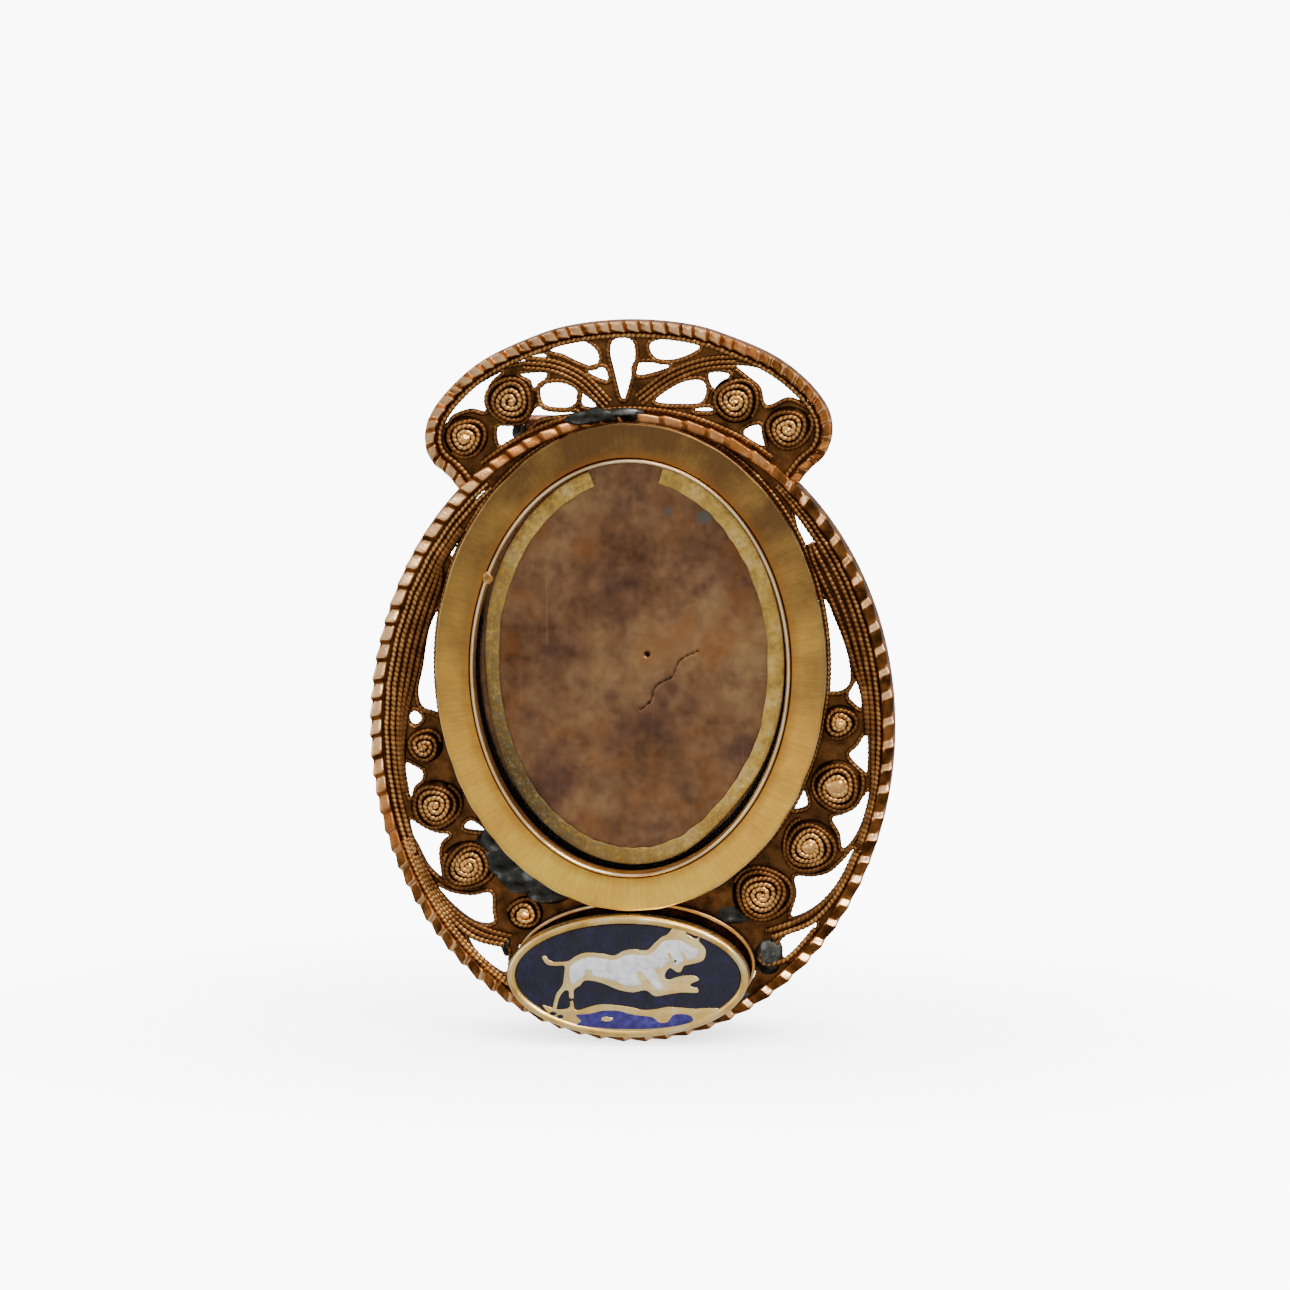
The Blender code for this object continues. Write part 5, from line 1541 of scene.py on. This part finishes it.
    def build(self) -> None:
        """Make the dish, the enamels and the gold lines."""
        half, mid, back, front = self.tray.half, self.tray.middle, self.tray.back, self.tray.front
        side = rounded(
            [
                (0.0, back, 0.06), (0.0, front - 0.08, 0.16), (-0.2, front + 0.02, 0.12), (-0.42, front - 0.12, 0.1),
                (-0.44, back + 0.24, 0.03), (-0.9, back + 0.24, 0.05), (-0.9, back, 0.02),
            ],
            5,
        )
        rim = oval_ring(side, half, mid, 300)
        rim.points[:, 2] += 0.02 * ripple(rim.points[:, :2], 1.8, 1.0) * (rim.points[:, 2] > back + 0.5)
        rim.tone = np.clip(0.5 + 0.3 * ripple(rim.points[:, :2], 2.2, 4.0) + 0.25 * (rim.uv[:, 1] * 10 > -0.12), 0, 1)
        floor = disc(
            (half[0] - 0.85, half[1] - 0.85), mid, lambda p, k: np.full(len(p), back + 0.23), back + 0.01, 8, 96,
        )
        place("gold_dish", joined([rim, floor]), TRAY_GOLD, Body.FRAME, ["plaque_tray"])
        low, high = self.collet.front - 0.3, self.collet.front + 0.05
        edge = rounded([(-0.01, low, 0.02), (-0.01, high, 0.05), (-0.19, high, 0.05), (-0.19, low, 0.02)])
        lip = oval_ring(edge, self.collet.half, self.collet.middle, 240)
        lip.tone = np.clip(0.5 + 0.25 * ripple(lip.points[:, :2], 3.0, 1.0), 0, 1)
        place("collet_lip", lip, LIP_GOLD, Body.FRAME, [])
        navy = disc(
            (half[0] - 0.45, half[1] - 0.45), mid, lambda p, k: 4.24 - 0.05 * k**4 + 0.02 * ripple(p, 1.4),
            back + 0.27, 30, 200,
        )
        place("navy_ground", navy, NAVY, Body.FRAME, ["enamel_navy"])
        gold = flat_shape([self.moved(self.silhouette())], 4.12, 4.33, 0.03, 0.7)
        place("dog_outline", gold, TRAY_GOLD, Body.FRAME, ["dog_cloison"])
        land = flat_shape([self.moved(self.ground())], 4.12, 4.325, 0.03, 0.55)
        isles = [
            lump((mid[0] + x, mid[1] + z, 4.31), (0.18, 0.1, 0.04), x, 0.0)
            for x, z in ((-3.75, -1.9), (-3.4, -2.05))
        ]
        pebble = lump((mid[0] - 1.05, mid[1] - 2.16, 4.33), (0.33, 0.13, 0.05), 0.3, 0.8)
        place("ground_line", joined([land, pebble]), TRAY_GOLD, Body.FRAME, ["ground_cloison"])
        eye = lump((mid[0] + 2.4, mid[1] + 0.86, 4.34), (0.1, 0.09, 0.03), 1.0, 0.5)
        place("dark_marks", joined(isles + [eye]), NAVY, Body.FRAME, [])
        bars = [
            flat_shape(
                [np.array([(x - 0.07, z), (x + 0.1, z), (x - 0.08, z + 0.5), (x - 0.25, z + 0.48)]) + np.array(mid)],
                4.3, 4.375, 0.02, 0.7,
            )
            for x, z in ((2.92, 0.85), (2.25, 0.78))
        ]
        place("muzzle_lines", joined(bars), TRAY_GOLD, Body.FRAME, [])
        place(
            "white_dog", flat_shape([self.moved(self.dog())], 4.2, 4.36, 0.04), WHITE, Body.FRAME, ["enamel_dog"],
        )
        place(
            "blue_field", flat_shape([self.moved(self.field_line())], 4.2, 4.345, 0.03), BLUE, Body.FRAME,
            ["enamel_blue"],
        )


@dataclass
class BackWork:
    """What the back shows: the lid, the chain tube and the solder of old repairs."""

    tube: tuple[float, float, float] = (0.55, 0.36, 11.0)

    def lid(self) -> None:
        """A gold lid with a soft edge and a shallow line engraved round it."""
        sheet = extent("lid_plate")

        def face(spot: np.ndarray, share: np.ndarray) -> np.ndarray:
            """Depth of the outer face: a rounded edge, and two lines cut near it."""
            cut = 0.05 * np.exp(-(((share - 0.9) / 0.008) ** 2)) + 0.04 * np.exp(-(((share - 0.87) / 0.006) ** 2))
            return 0.14 * np.clip((share - 0.975) / 0.025, 0, 1) ** 2 + cut + 0.008 * (1 + ripple(spot, 5.0))

        plate = disc(sheet.half, (0.0, 0.0), face, sheet.front, 130, 320)
        plate.tone = 0.5 + 0.15 * ripple(plate.points[:, :2], 7.0)
        place("gold_lid", plate, LID_GOLD, Body.LID, ["lid_plate"])

    def chain_tube(self) -> None:
        """A red tube across the back, its ends turned in a little."""
        room = extent("chain_tube")
        radius, bore, length = self.tube
        along = np.array([-0.5, -0.494, -0.47, -0.4, -0.2, 0.0, 0.2, 0.4, 0.47, 0.494, 0.5]) * length
        along = np.interp(np.linspace(0, 10, 81), np.arange(11), along)
        shrink = 0.05 * np.clip((np.abs(along) - length * 0.49) / (length * 0.01), 0, 1) ** 2
        outer = radius - shrink
        path = np.concatenate([along, along[::-1]])
        reach = np.concatenate([outer, np.full(len(along), bore)])
        turn = np.linspace(0, TAU, 28, endpoint=False)[None]
        wave = 0.02 * np.sin(path * 1.9)[:, None] * (reach > bore + 0.02)[:, None] * np.cos(turn)
        middle = (room.middle[1], (room.back + room.front) / 2)
        ring = reach[:, None] - np.abs(wave)
        points = np.stack(
            [path[:, None] + 0 * turn, middle[0] + ring * np.sin(turn), middle[1] + ring * np.cos(turn)], -1,
        )
        tone = 0.45 + 0.2 * np.sin(path * 2.3)[:, None] + 0 * turn
        place(
            "red_tube", lattice(points, True, True, tone), TUBE_COPPER, Body.FRAME, ["chain_tube"],
        )

    def solder(self) -> None:
        """Grey lumps where the strips, the case and the plaque's seat were mended."""
        spots = [
            (-2.5, 12.4, 2.72, 0.8, 0.36, 0.2), (-1.5, 12.55, 2.74, 0.9, 0.36, 0.2),
            (-0.3, 12.66, 2.74, 1.0, 0.34, 0.2), (-5.75, -13.9, 2.0, 0.4, 0.5, 0.25),
            (-5.75, 11.65, 1.4, 0.35, 0.5, 0.45), (-6.3, -9.9, 2.6, 1.3, 0.85, 0.28),
            (-5.3, -10.8, 2.6, 1.4, 0.75, 0.28), (-7.0, -9.0, 2.55, 0.8, 0.75, 0.28),
            (-4.2, -11.6, 2.55, 1.2, 0.6, 0.25), (-6.35, -14.4, 2.1, 0.3, 0.5, 0.3),
            (6.85, -14.8, 2.15, 0.8, 1.0, 0.4), (5.6, -17.0, 2.2, 0.7, 0.4, 0.4),
            (5.4, -12.6, 2.1, 1.6, 0.6, 0.3),
        ]
        lumps = [lump((x, z, d), (a, b, c), k * 1.7, 0.35) for k, (x, z, d, a, b, c) in enumerate(spots)]
        place("old_solder", joined(lumps), SOLDER, Body.FRAME, [])

    def build(self) -> None:
        """Make all of it."""
        self.lid()
        self.chain_tube()
        self.solder()


@dataclass
class CadFinishes:
    """Finishes of the CAD pieces that stay as they are."""

    nodes: dict[str, bpy.types.Object]

    def build(self) -> None:
        """Put the right metal on each one."""
        copper = {"collet", "plaque_bearer", "case_bearer"}
        for name, piece in self.nodes.items():
            finish = PANE if name == "glass_pane" else PLAIN_COPPER if name in copper else PLAIN_GOLD
            for slot in piece.material_slots:
                slot.material = finish.material()
            LOG.info("%s: dressed in %s", name, finish.name)


@dataclass
class Studio:
    """White sweep, soft light from above and the right, and the camera."""

    floor_glow: float = 8.5
    distance: float = 0.35
    lens: float = 195.0
    elevation: float = 8.0
    azimuth: float = 4.0
    aim: tuple[float, float, float] = (0.65, -2.3, 1.0)
    sky: float = 0.68

    def sweep(self) -> None:
        """A pale glowing floor that curves up into the background, its glow dimmed round the locket as a painted
        shadow.
        """
        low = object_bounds()[0][2]
        run = np.concatenate(
            [np.linspace(-0.6, 0.3, 10), 0.3 + 0.3 * np.sin(np.linspace(0.1, math.pi / 2, 16)), np.full(4, 0.6)]
        )
        rise = np.concatenate(
            [np.zeros(10), 0.3 - 0.3 * np.cos(np.linspace(0.1, math.pi / 2, 16)), np.linspace(0.5, 1.2, 4)]
        )
        across = np.linspace(-1.0, 1.0, 12)
        points = np.stack(np.broadcast_arrays(across[None], run[:, None], low + rise[:, None]), -1).reshape(-1, 3)
        index = np.arange(30 * 12).reshape(30, 12)
        quads = np.stack([index[:-1, :-1], index[:-1, 1:], index[1:, 1:], index[1:, :-1]], -1).reshape(-1, 4)
        mesh = bpy.data.meshes.new("sweep")
        mesh.from_pydata(points.tolist(), [], quads.tolist())
        made = bpy.data.materials.new("white_sweep")
        made.use_nodes = True
        shader = made.node_tree.nodes["Principled BSDF"]
        shader.inputs["Base Color"].default_value = (0.86, 0.86, 0.86, 1.0)
        shader.inputs["Roughness"].default_value = 0.7
        shader.inputs["Emission Color"].default_value = (0.985, 0.99, 1.0, 1.0)
        tree = made.node_tree
        spot = add_node(tree, "TexCoord", out="Object")
        # Painted shadow: the floor's glow falls off in two sizes round the locket.
        glow = self.floor_glow
        for size, least in (((1 / 0.05, 1 / 0.035, 1 / 0.06), 0.57), ((1 / 0.0125, 1 / 0.006, 1 / 0.02), 0.22)):
            apart = add_node(tree, "Mapping", {"Vector": spot, "Location": (0.0, 0.0, -low * size[2]), "Scale": size})
            far = add_node(tree, "VectorMath", {0: apart}, "Value", operation="LENGTH")
            shade = add_node(tree, "MapRange", {"Value": far, "To Min": least}, interpolation_type="SMOOTHSTEP")
            glow = add_node(tree, "Math", {0: glow, 1: shade}, operation="MULTIPLY")
        tree.links.new(glow, shader.inputs["Emission Strength"])
        mesh.materials.append(made)
        mesh.polygons.foreach_set("use_smooth", np.ones(len(mesh.polygons), bool))
        floor = bpy.data.objects.new("sweep", mesh)
        bpy.context.scene.collection.objects.link(floor)
        floor.visible_glossy = floor.visible_diffuse = False
        floor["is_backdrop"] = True

    def lamp(self, name: str, spot: tuple[float, float, float], power: float, size: float) -> None:
        """A soft square light that faces the locket.

        Args:
            name: Its name.
            spot: Where it stands.
            power: Its power.
            size: Its width.
        """
        light = bpy.data.lights.new(name, "AREA")
        light.energy, light.size = power, size
        lamp = bpy.data.objects.new(name, light)
        lamp.location = spot
        lamp.rotation_euler = (-Vector(spot)).to_track_quat("-Z", "Y").to_euler()
        bpy.context.scene.collection.objects.link(lamp)

    def camera(self) -> None:
        """A long lens a little above and to the right of the locket."""
        target = Vector(self.aim) * MM
        up, turn = math.radians(self.elevation), math.radians(self.azimuth)
        way = Vector((math.sin(turn) * math.cos(up), -math.cos(turn) * math.cos(up), math.sin(up)))
        data = bpy.data.cameras.new("camera")
        data.lens, data.sensor_width, data.clip_start = self.lens, 36.0, 0.01
        camera = bpy.data.objects.new("camera", data)
        camera.location = target + way * self.distance
        camera.rotation_euler = (-way).to_track_quat("-Z", "Y").to_euler()
        bpy.context.scene.collection.objects.link(camera)
        bpy.context.scene.camera = camera

    def build(self) -> None:
        """Make the sweep, the lights and the camera."""
        self.sweep()
        self.camera()
        self.lamp("key", (0.22, -0.32, 0.42), 3.6, 0.25)
        self.lamp("side", (-0.4, -0.25, 0.2), 0.6, 0.3)
        self.lamp("over", (0.05, 0.1, 0.5), 1.6, 0.3)
        self.lamp("front", (0.05, -0.5, -0.1), 0.12, 0.3)
        world = bpy.data.worlds.new("studio")
        world.use_nodes = True
        world.node_tree.nodes["Background"].inputs["Color"].default_value = (0.93, 0.96, 1.0, 1.0)
        world.node_tree.nodes["Background"].inputs["Strength"].default_value = self.sky
        bpy.context.scene.world = world


def main() -> None:
    """Build the locket's looks round the frame."""
    logging.basicConfig(level=logging.INFO, format="%(name)s: %(message)s")
    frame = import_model()
    collet = extent("collet")
    layout = FrameLayout(extent("oval_rim"), extent("case_seat").half)
    CadFinishes(frame["nodes"]).build()
    NotchedStrips(layout).build()
    Filigree(layout, collet).build()
    Rosettes(layout).build()
    Bezel(layout).build()
    BackPlate(layout).build()
    Plaque(extent("plaque_tray"), collet).build()
    BackWork().build()
    Studio().build()


if __name__ == "__main__":
    main()
